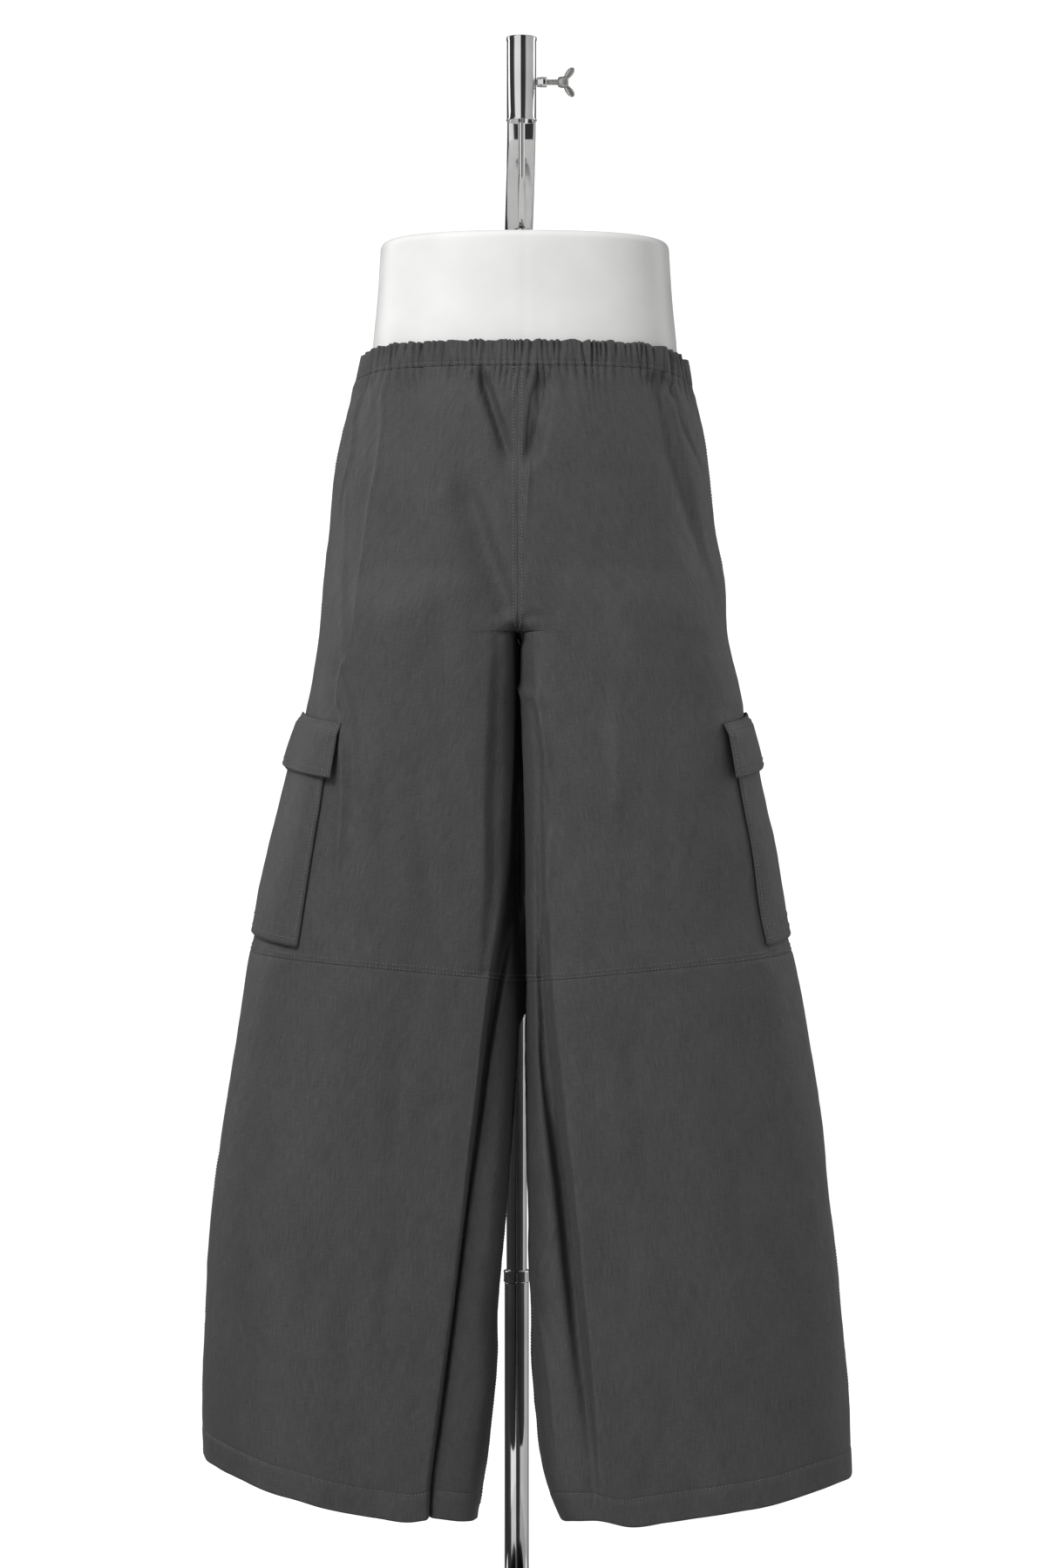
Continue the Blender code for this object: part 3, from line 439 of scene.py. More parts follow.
# ------------------------------------------------------------------ the trousers' surface
@dataclass(frozen=True)
class TrouserShape:
    """The smooth form of the trousers, from tables like those of the solid model."""

    z_crotch: float = 0.892
    z_rise: float = 1.000
    rise_power: float = 7.0
    rise_part: float = 0.5
    middle_y: float = 0.003
    knee_front: float = 0.585
    knee_side: float = 0.613
    band_centre: float = 0.0063
    band_bottom: float = 1.1230
    band_drop: tuple[float, float] = (0.005, 0.011)
    band_seat: float = 0.0001
    gathers: int = 104
    gather_height: float = 0.0014
    # waves that shift the gathers sideways and make them higher or lower: size, count and shift
    gather_shifts: tuple[tuple[float, float, float], ...] = (
        (1.3, 3, 0.5), (1.2, 7, 0.0), (0.9, 17, 2.0), (0.5, 31, 0.0),
    )
    gather_swells: tuple[tuple[float, float, float], ...] = (
        (0.18, 5, 1.0), (0.18, 13, 0.3), (0.25, 29, 1.7),
    )
    # width of the step at the inner-front fold, and of the one at the recess
    fold_sharpness: float = 0.0040
    recess_width: float = 0.011
    # parts of the depth from which the front's steps and the large folds grow, and over which
    step_from: tuple[float, float] = (0.2, 0.55)
    fold_from: tuple[float, float] = (0.2, 0.5)
    # heights over which the bow of the inner walls fades in at its foot and out at its top
    bow_fades: tuple[float, float] = (0.030, 0.016)
    # part of the leg's depth in which they bow
    bow_depth: float = 0.75
    # how far the hollow lies behind the fold, in its half widths
    hollow_place: float = 1.3
    # angle over which a section is drawn to its start, and height over which it closes at the crotch
    start_blend: float = 0.9
    crotch_blend: float = 0.004
    # points of a half section, and places that are worked out in one go
    section_points: int = 420
    block: int = 6000
    # both legs: height, depth of front and back, squareness of the outer and inner corners
    both: tuple[tuple[float, ...], ...] = (
        (1.140, -0.0995, 0.0995, 2.40, 2.40),
        (1.110, -0.1040, 0.1050, 2.30, 2.30),
        (1.080, -0.1095, 0.1120, 2.30, 2.30),
        (1.040, -0.1155, 0.1185, 2.32, 2.32),
        (0.990, -0.1200, 0.1235, 2.35, 5.00),
        (0.940, -0.1215, 0.1240, 2.38, 8.00),
        (0.892, -0.1212, 0.1225, 2.40, 8.00),
        (0.850, -0.1205, 0.1205, 2.42, 8.00),
        (0.800, -0.1198, 0.1180, 2.45, 8.00),
        (0.760, -0.1190, 0.1160, 2.45, 8.00),
        (0.700, -0.1180, 0.1135, 2.45, 8.00),
        (0.650, -0.1170, 0.1115, 2.45, 8.00),
        (0.600, -0.1160, 0.1100, 2.45, 8.00),
        (0.550, -0.1150, 0.1085, 2.45, 8.00),
        (0.480, -0.1140, 0.1065, 2.45, 8.00),
        (0.430, -0.1130, 0.1050, 2.45, 8.00),
        (0.385, -0.1125, 0.1035, 2.45, 8.00),
        (0.340, -0.1120, 0.1020, 2.45, 8.00),
        (0.292, -0.1115, 0.1005, 2.45, 8.00),
        (0.245, -0.1110, 0.0990, 2.45, 8.00),
        (0.200, -0.1105, 0.0980, 2.45, 8.00),
        (0.155, -0.1100, 0.0970, 2.45, 8.00),
        (0.105, -0.1095, 0.0960, 2.45, 8.00),
    )
    # each leg at those heights: outer and inner edge from the middle plane, x of the inner-front
    # fold and its step inward
    left: tuple[tuple[float, ...], ...] = (
        (0.1375, 0.0015, 0.0000, 0.000),
        (0.1470, 0.0015, 0.0000, 0.000),
        (0.1552, 0.0015, 0.0000, 0.000),
        (0.1638, 0.0015, 0.0000, 0.000),
        (0.1682, 0.0015, 0.0000, 0.000),
        (0.1734, 0.0015, 0.0000, 0.000),
        (0.1774, 0.0018, 0.0010, 0.003),
        (0.1842, 0.0020, -0.0008, 0.026),
        (0.1952, 0.0022, -0.0020, 0.040),
        (0.2040, 0.0022, -0.0032, 0.044),
        (0.2190, 0.0016, -0.0062, 0.044),
        (0.2302, 0.0006, -0.0122, 0.038),
        (0.2412, -0.0008, -0.0205, 0.034),
        (0.2490, -0.0012, -0.0270, 0.026),
        (0.2606, 0.0034, -0.0345, 0.018),
        (0.2681, 0.0072, -0.0412, 0.014),
        (0.2739, 0.0108, -0.0470, 0.012),
        (0.2777, 0.0150, -0.0525, 0.011),
        (0.2794, 0.0192, -0.0583, 0.010),
        (0.2810, 0.0198, -0.0644, 0.010),
        (0.2810, 0.0238, -0.0704, 0.010),
        (0.2794, 0.0288, -0.0765, 0.010),
        (0.2780, 0.0375, -0.0790, 0.009),
    )
    right: tuple[tuple[float, ...], ...] = (
        (0.1490, 0.0015, 0.0000, 0.000),
        (0.1560, 0.0015, 0.0000, 0.000),
        (0.1645, 0.0015, 0.0000, 0.000),
        (0.1708, 0.0015, 0.0000, 0.000),
        (0.1760, 0.0015, 0.0000, 0.000),
        (0.1856, 0.0015, 0.0000, 0.000),
        (0.1874, 0.0018, 0.0100, 0.000),
        (0.1970, 0.0020, 0.0135, 0.002),
        (0.2065, 0.0032, 0.0212, 0.003),
        (0.2130, 0.0038, 0.0250, 0.004),
        (0.2268, 0.0046, 0.0252, 0.005),
        (0.2350, 0.0052, 0.0253, 0.006),
        (0.2478, 0.0062, 0.0266, 0.009),
        (0.2566, 0.0066, 0.0305, 0.014),
        (0.2676, 0.0074, 0.0390, 0.018),
        (0.2742, 0.0080, 0.0444, 0.019),
        (0.2794, 0.0100, 0.0490, 0.018),
        (0.2848, 0.0104, 0.0535, 0.016),
        (0.2896, 0.0126, 0.0578, 0.013),
        (0.2935, 0.0134, 0.0626, 0.009),
        (0.2962, 0.0172, 0.0668, 0.005),
        (0.2980, 0.0225, 0.0700, 0.002),
        (0.2985, 0.0440, 0.0720, 0.000),
    )
    # leg, side, height and x at the top, height and x at the foot, depth, half width
    folds: tuple[tuple, ...] = (
        ("left", "front", 1.118, -0.031, 1.035, -0.006, 0.0085, 0.0075),
        ("right", "front", 1.118, 0.026, 1.035, 0.010, 0.0085, 0.0070),
        ("left", "front", 1.020, -0.047, 0.905, -0.006, 0.0050, 0.0130),
        ("right", "front", 1.110, 0.118, 0.905, 0.168, 0.0050, 0.0140),
        ("left", "back", 1.112, -0.030, 1.040, -0.008, 0.0070, 0.0090),
        ("right", "back", 1.112, 0.034, 1.030, 0.010, 0.0070, 0.0090),
        ("left", "back", 0.860, -0.060, 0.560, -0.085, 0.0090, 0.0180),
        ("right", "back", 0.840, 0.070, 0.520, 0.090, 0.0090, 0.0180),
        ("left", "back", 0.480, -0.120, 0.115, -0.150, 0.0070, 0.0200),
        ("right", "back", 0.500, 0.110, 0.115, 0.160, 0.0070, 0.0200),
    )
    # hem: position round the leg (0 inseam, 0.25 front, 0.5 side seam), height
    hem_left: tuple[tuple[float, float], ...] = (
        (0.000, 0.1150), (0.060, 0.1135), (0.100, 0.1175), (0.124, 0.1198), (0.169, 0.1245),
        (0.198, 0.1219), (0.226, 0.1250), (0.255, 0.1288), (0.284, 0.1339), (0.314, 0.1408),
        (0.344, 0.1462), (0.380, 0.1554), (0.411, 0.1609), (0.454, 0.1642), (0.500, 0.1655),
        (0.600, 0.1560), (0.700, 0.1420), (0.800, 0.1300), (0.900, 0.1220), (1.000, 0.1150),
    )
    hem_right: tuple[tuple[float, float], ...] = (
        (0.000, 0.1330), (0.050, 0.1300), (0.071, 0.1271), (0.092, 0.1198), (0.131, 0.1217),
        (0.156, 0.1226), (0.181, 0.1179), (0.224, 0.1220), (0.280, 0.1287), (0.338, 0.1362),
        (0.386, 0.1446), (0.415, 0.1472), (0.460, 0.1470), (0.500, 0.1475), (0.600, 0.1430),
        (0.700, 0.1340), (0.800, 0.1270), (0.900, 0.1290), (1.000, 0.1330),
    )
    # hollow behind the inner-front fold: height, depth and half width
    hollow_left: tuple[tuple[float, float, float], ...] = (
        (0.10, 0.006, 0.0014), (0.20, 0.008, 0.0014), (0.35, 0.010, 0.0015), (0.50, 0.013, 0.0018),
        (0.58, 0.016, 0.0035), (0.66, 0.019, 0.0065), (0.74, 0.020, 0.0055), (0.80, 0.017, 0.0040),
        (0.85, 0.006, 0.0030), (0.88, 0.000, 0.0030), (1.15, 0.000, 0.0030),
    )
    hollow_right: tuple[tuple[float, float, float], ...] = (
        (0.10, 0.000, 0.004), (0.17, 0.001, 0.004), (0.24, 0.006, 0.005), (0.34, 0.010, 0.006),
        (0.44, 0.012, 0.006), (0.54, 0.011, 0.005), (0.62, 0.007, 0.004), (0.70, 0.004, 0.004),
        (0.80, 0.002, 0.003), (0.89, 0.000, 0.003), (1.15, 0.000, 0.003),
    )
    # both inner walls bow the same way between these heights, so no light comes through
    bow: float = 0.0115
    bow_reach: tuple[float, float] = (0.540, 0.891)
    # softer step of the left leg's front, outside the fold: height, x and depth
    recess: tuple[tuple[float, float, float], ...] = (
        (0.08, -0.0340, 0.000), (0.575, -0.0340, 0.000), (0.62, -0.0285, 0.006), (0.67, -0.0250, 0.009),
        (0.75, -0.0248, 0.010), (0.83, -0.0225, 0.009), (0.880, -0.0200, 0.004), (0.900, -0.0200, 0.000),
        (1.15, -0.0200, 0.000),
    )

    def row(self, leg: Leg, z: np.ndarray) -> dict[str, np.ndarray]:
        """Read a leg's table.

        Args:
            leg: Which leg.
            z: Heights.

        Returns:
            The tables' columns at those heights, by name.
        """
        rows = np.hstack([self.both, self.left if leg is Leg.LEFT else self.right])[::-1]
        names = ("z", "front", "back", "square", "corner", "outer", "inner", "fold_x", "fold_in")
        return {name: table_curve(rows[:, 0], rows[:, k], z) for k, name in enumerate(names)}

    def fold_push(self, leg: Leg, side: Side, x: np.ndarray, z: np.ndarray) -> np.ndarray:
        """How far the largest folds push the cloth inward.

        Args:
            leg: Which leg.
            side: Front or back.
            x: Places across.
            z: Heights.

        Returns:
            Depth of the folds.
        """
        push = np.zeros(np.broadcast(x, z).shape)
        over, top_fade, foot_fade, shared = 0.12, 0.30, 0.35, 0.02
        for on_leg, on_side, z_top, x_top, z_foot, x_foot, depth, half in self.folds:
            if on_side != side.value:
                continue
            own = 1.0 if on_leg == leg.value else smooth((z - self.z_crotch) / shared)
            u = (z_top - z) / (z_top - z_foot)
            line = x_top + (x_foot - x_top) * np.clip(u, -0.3, 1.3)
            fade = smooth((u + over) / top_fade) * smooth((1.0 + over - u) / foot_fade)
            push += own * depth * fade * np.exp(-(((x - line) / half) ** 2))
        return push

    def opening(self, z: np.ndarray) -> tuple[np.ndarray, np.ndarray]:
        """How far a section is open to the other leg's.

        Args:
            z: Heights.

        Returns:
            Part of the rise above the crotch, and part of the depth that is open.
        """
        q = np.clip((z - self.z_crotch) / (self.z_rise - self.z_crotch), 0.0, 1.0)
        power, near = self.rise_power, np.minimum(q / self.rise_part, 1.0)
        return q, np.maximum(1.0 - (1.0 - near) ** power, 0.0) ** (1.0 / power)

    def wall_run(self, leg: Leg, side: Side, z: np.ndarray) -> np.ndarray:
        """Length of a section that lies on the inner wall of the leg.

        Args:
            leg: Which leg.
            side: Front or back.
            z: Heights.

        Returns:
            The lengths.
        """
        depth = np.abs(self.row(leg, z)[side.value] - self.middle_y)
        return depth * (1.0 - self.opening(z)[1])

    def section(
        self, leg: Leg, side: Side, z: np.ndarray, plain: bool = False
    ) -> tuple[np.ndarray, np.ndarray]:
        """The front or back half of a leg's section, from the middle to the side seam.

        Args:
            leg: Which leg.
            side: Front or back.
            z: Heights, one section each.
            plain: Leave out the hollow and the recess, as the solid does.

        Returns:
            x and y of the section's points, a row for each height.
        """
        z = np.asarray(z, float)[:, None]
        sign = leg.sign
        row = self.row(leg, z)
        depth = np.abs(row[side.value] - self.middle_y)
        q, open_part = self.opening(z)
        centre = 0.5 * (row["outer"] + row["inner"]) * (1.0 - smooth(q))
        reach_in = np.maximum(centre - row["inner"], 1e-4)
        reach_out = row["outer"] - centre
        near = smooth((self.z_crotch - z) / self.crotch_blend)
        end_x = centre - row["inner"] * near
        end_y = np.maximum(depth * open_part, 1e-5)
        n = row["corner"]
        part = np.minimum(end_y / depth, 1.0)
        start_x = reach_in * np.maximum(1.0 - part**n, 0.0) ** (1.0 / n)
        start = np.arctan2(end_y, start_x)
        turn = np.linspace(0.0, 1.0, self.section_points)[None, :]
        angle = start + (math.pi - start) * turn
        cos, sin = np.cos(angle), np.sin(angle)
        reach = np.where(cos > 0, reach_in, reach_out)
        n = np.where(cos > 0, row["corner"], row["square"])
        radius = ((np.abs(cos) / reach) ** n + (np.abs(sin) / depth) ** n) ** (-1.0 / n)
        blend = 1.0 - smooth((angle - start) / self.start_blend)
        x = sign * (centre - radius * cos - (end_x - start_x) * blend)
        out = radius * sin
        wall = (cos > 0) * (1.0 - smooth(out / (self.bow_depth * depth)))
        (foot, top), (foot_fade, top_fade) = self.bow_reach, self.bow_fades
        bow = self.bow * smooth((z - foot) / foot_fade) * smooth((top - z) / top_fade)
        if side is Side.FRONT:
            behind = (row["fold_x"] - x) * sign
            ease = smooth((out - self.step_from[0] * depth) / (self.step_from[1] * depth))
            table = np.array(self.hollow_left if leg is Leg.LEFT else self.hollow_right)
            deep, half = (np.interp(z, table[:, 0], table[:, k]) for k in (1, 2))
            deep = 0.0 if plain else deep
            hollow = deep * np.exp(-(((behind - self.hollow_place * half) / half) ** 2))
            step = row["fold_in"] * smooth(behind / self.fold_sharpness + 0.5)
            out = out - (step + hollow) * ease
            if leg is Leg.LEFT and not plain:
                table = np.array(self.recess)
                edge, deep = (np.interp(z, table[:, 0], table[:, k]) for k in (1, 2))
                out = out - deep * smooth((x - edge) / self.recess_width + 0.5) * ease
        ease = smooth((out - self.fold_from[0] * depth) / (self.fold_from[1] * depth))
        out = out - self.fold_push(leg, side, x, z) * ease
        return x + bow * wall, self.middle_y + side.facing * out

    def measured_share(self, leg: Leg, side: Side, share: np.ndarray, z: np.ndarray) -> np.ndarray:
        """Find the share that is as far from the side seam as a share of the solid's section.

        Args:
            leg: Which leg.
            side: Front or back.
            share: Part of the way on the solid.
            z: Heights.

        Returns:
            Part of the way on this cloth.
        """
        levels, which = np.unique(np.round(z.ravel(), 4), return_inverse=True)
        runs = []
        for plain in (True, False):
            x, y = self.section(leg, side, levels, plain)
            run = np.hypot(np.diff(x, axis=1), np.diff(y, axis=1)).sum(axis=1)
            runs.append(run[which].reshape(z.shape))
        return 1.0 - (1.0 - share) * runs[0] / runs[1]

    def place(
        self, leg: Leg, side: Side, share: np.ndarray, z: np.ndarray
    ) -> tuple[np.ndarray, np.ndarray]:
        """Points on the trousers.

        Args:
            leg: Which leg.
            side: Front or back.
            share: Part of the way from the middle to the side seam.
            z: Heights.

        Returns:
            The points, and the length of cloth from the middle to the side seam at each.
        """
        share, z = np.broadcast_arrays(np.asarray(share, float), np.asarray(z, float))
        points = np.empty((share.size, 3))
        length = np.empty(share.size)
        flat_share, flat_z = share.ravel(), z.ravel()
        for first in range(0, share.size, self.block):
            part = slice(first, first + self.block)
            levels, which = np.unique(np.round(flat_z[part], 6), return_inverse=True)
            x, y = self.section(leg, side, levels)
            step = np.hypot(np.diff(x, axis=1), np.diff(y, axis=1))
            run = np.concatenate([np.zeros((len(x), 1)), np.cumsum(step, axis=1)], axis=1)
            x, y, run = x[which], y[which], run[which]
            want = np.clip(flat_share[part], 0, 1) * run[:, -1]
            i = np.clip((run <= want[:, None]).sum(axis=1) - 1, 0, x.shape[1] - 2)
            k = np.arange(len(x))
            u = (want - run[k, i]) / np.maximum(run[k, i + 1] - run[k, i], 1e-9)
            points[part, 0] = x[k, i] + (x[k, i + 1] - x[k, i]) * u
            points[part, 1] = y[k, i] + (y[k, i + 1] - y[k, i]) * u
            points[part, 2] = flat_z[part]
            length[part] = run[:, -1]
        return points.reshape(share.shape + (3,)), length.reshape(share.shape)

    def heading(self, x: np.ndarray, y: np.ndarray) -> np.ndarray:
        """Direction round the waist: 0 at the right side, a quarter turn at the front."""
        return np.arctan2(-y, x - self.band_centre)

    def gather(self, heading: np.ndarray) -> np.ndarray:
        """The uneven gathers that the elastic makes.

        Args:
            heading: Direction round the waist.

        Returns:
            How far the cloth stands out there.
        """
        phase = waves(heading, self.gathers * heading, self.gather_shifts)
        swell = waves(heading, 0.85, self.gather_swells)
        return self.gather_height * swell * (2.0 * np.abs(np.sin(0.5 * phase)) ** 0.7 - 1.15)

    def band_foot(self, heading: np.ndarray) -> np.ndarray:
        """Height of the waistband's lower edge."""
        c = np.cos(heading)
        return self.band_bottom - np.where(c < 0, *self.band_drop) * c**18

    def waist_height(self, leg: Leg, side: Side, share: np.ndarray) -> np.ndarray:
        """Height of the upper panels' top edge.

        Args:
            leg: Which leg.
            side: Front or back.
            share: Part of the way from the middle to the side seam.

        Returns:
            The heights.
        """
        z = np.full_like(np.asarray(share, float), 1.12)
        for _ in range(3):
            p, _ = self.place(leg, side, share, z)
            z = self.band_foot(self.heading(p[..., 0], p[..., 1])) - self.band_seat
        return z

    def knee_height(self, side: Side, share: np.ndarray) -> np.ndarray:
        """Height of the knee seam.

        Args:
            side: Front or back.
            share: Part of the way from the middle to the side seam.

        Returns:
            The heights.
        """
        drop = 1.0 - smooth(np.asarray(share, float) / 1.02)
        low = self.knee_front if side is Side.FRONT else self.knee_front + 0.006
        return self.knee_side - (self.knee_side - low) * drop

    def hem_height(self, leg: Leg, side: Side, share: np.ndarray) -> np.ndarray:
        """Height of the hem.

        Args:
            leg: Which leg.
            side: Front or back.
            share: Part of the way from the middle to the side seam.

        Returns:
            The heights.
        """
        table = np.array(self.hem_left if leg is Leg.LEFT else self.hem_right)
        turn = 0.5 * np.asarray(share, float)
        turn = turn if side is Side.FRONT else 1.0 - turn
        return table_curve(table[:, 0], table[:, 1], turn)


# ------------------------------------------------------------------ creases laid one by one
@dataclass(frozen=True)
class Crease:
    """One soft crease that lies along a path.

    The path is a list of x and height on the side's face. height is above 0 for a ridge and below
    for a trough; one flank may be wider than the other; ends says over what part of the path each
    end fades in.
    """

    leg: Leg
    side: Side
    height: float
    half: float
    lean: float
    ends: tuple[float, float]
    path: tuple[tuple[float, float], ...]

    def curve(self, count: int = 26) -> np.ndarray:
        """A smooth line through the path's points.

        Args:
            count: Points on the line.

        Returns:
            x and height of each.
        """
        p = np.array(self.path)
        t = np.concatenate([[0.0], np.cumsum(np.hypot(*np.diff(p, axis=0).T))])
        if len(p) == 2:
            return p[0] + (p[1] - p[0]) * np.linspace(0, 1, count)[:, None]
        at = np.linspace(0.0, t[-1], count)
        return np.stack([table_curve(t, p[:, 0], at), table_curve(t, p[:, 1], at)], axis=1)

    def relief(self, grid: ClothGrid) -> np.ndarray:
        """What the crease adds to a grid of cloth.

        Args:
            grid: The grid of its leg and side.

        Returns:
            Height at each point.
        """
        line = grid.on_cloth(self.curve())
        across, down = grid.run, grid.points[..., 2]
        out = np.zeros(across.shape)
        reach = 3.2 * self.half * max(self.lean, 1.0)
        box = (
            (across > line[:, 0].min() - reach)
            & (across < line[:, 0].max() + reach)
            & (down > line[:, 1].min() - reach)
            & (down < line[:, 1].max() + reach)
        )
        if not box.any():
            return out
        q = np.stack([across[box], down[box]], axis=-1)
        a, b = line[:-1], line[1:]
        d = b - a
        size = np.maximum((d**2).sum(axis=1), 1e-12)
        u = np.clip(((q[:, None, :] - a) * d).sum(axis=2) / size, 0.0, 1.0)
        gap = q[:, None, :] - (a + u[..., None] * d)
        dist2 = (gap**2).sum(axis=2)
        k = dist2.argmin(axis=1)
        rows = np.arange(len(q))
        dist = np.sqrt(dist2[rows, k])
        t = (k + u[rows, k]) / len(d)
        side = np.sign(d[k, 0] * gap[rows, k, 1] - d[k, 1] * gap[rows, k, 0])
        width = np.where(side > 0, self.half, self.half * self.lean)
        fade = smooth(t / max(self.ends[0], 1e-3) + (self.ends[0] < 0.03))
        fade = fade * smooth((1 - t) / max(self.ends[1], 1e-3) + (self.ends[1] < 0.03))
        # narrow creases are peaked, wide ones rounded
        power = 1.25 if self.half < 0.0025 else 2.0
        out[box] = self.height * fade * np.exp(-((dist / width) ** power))
        return out


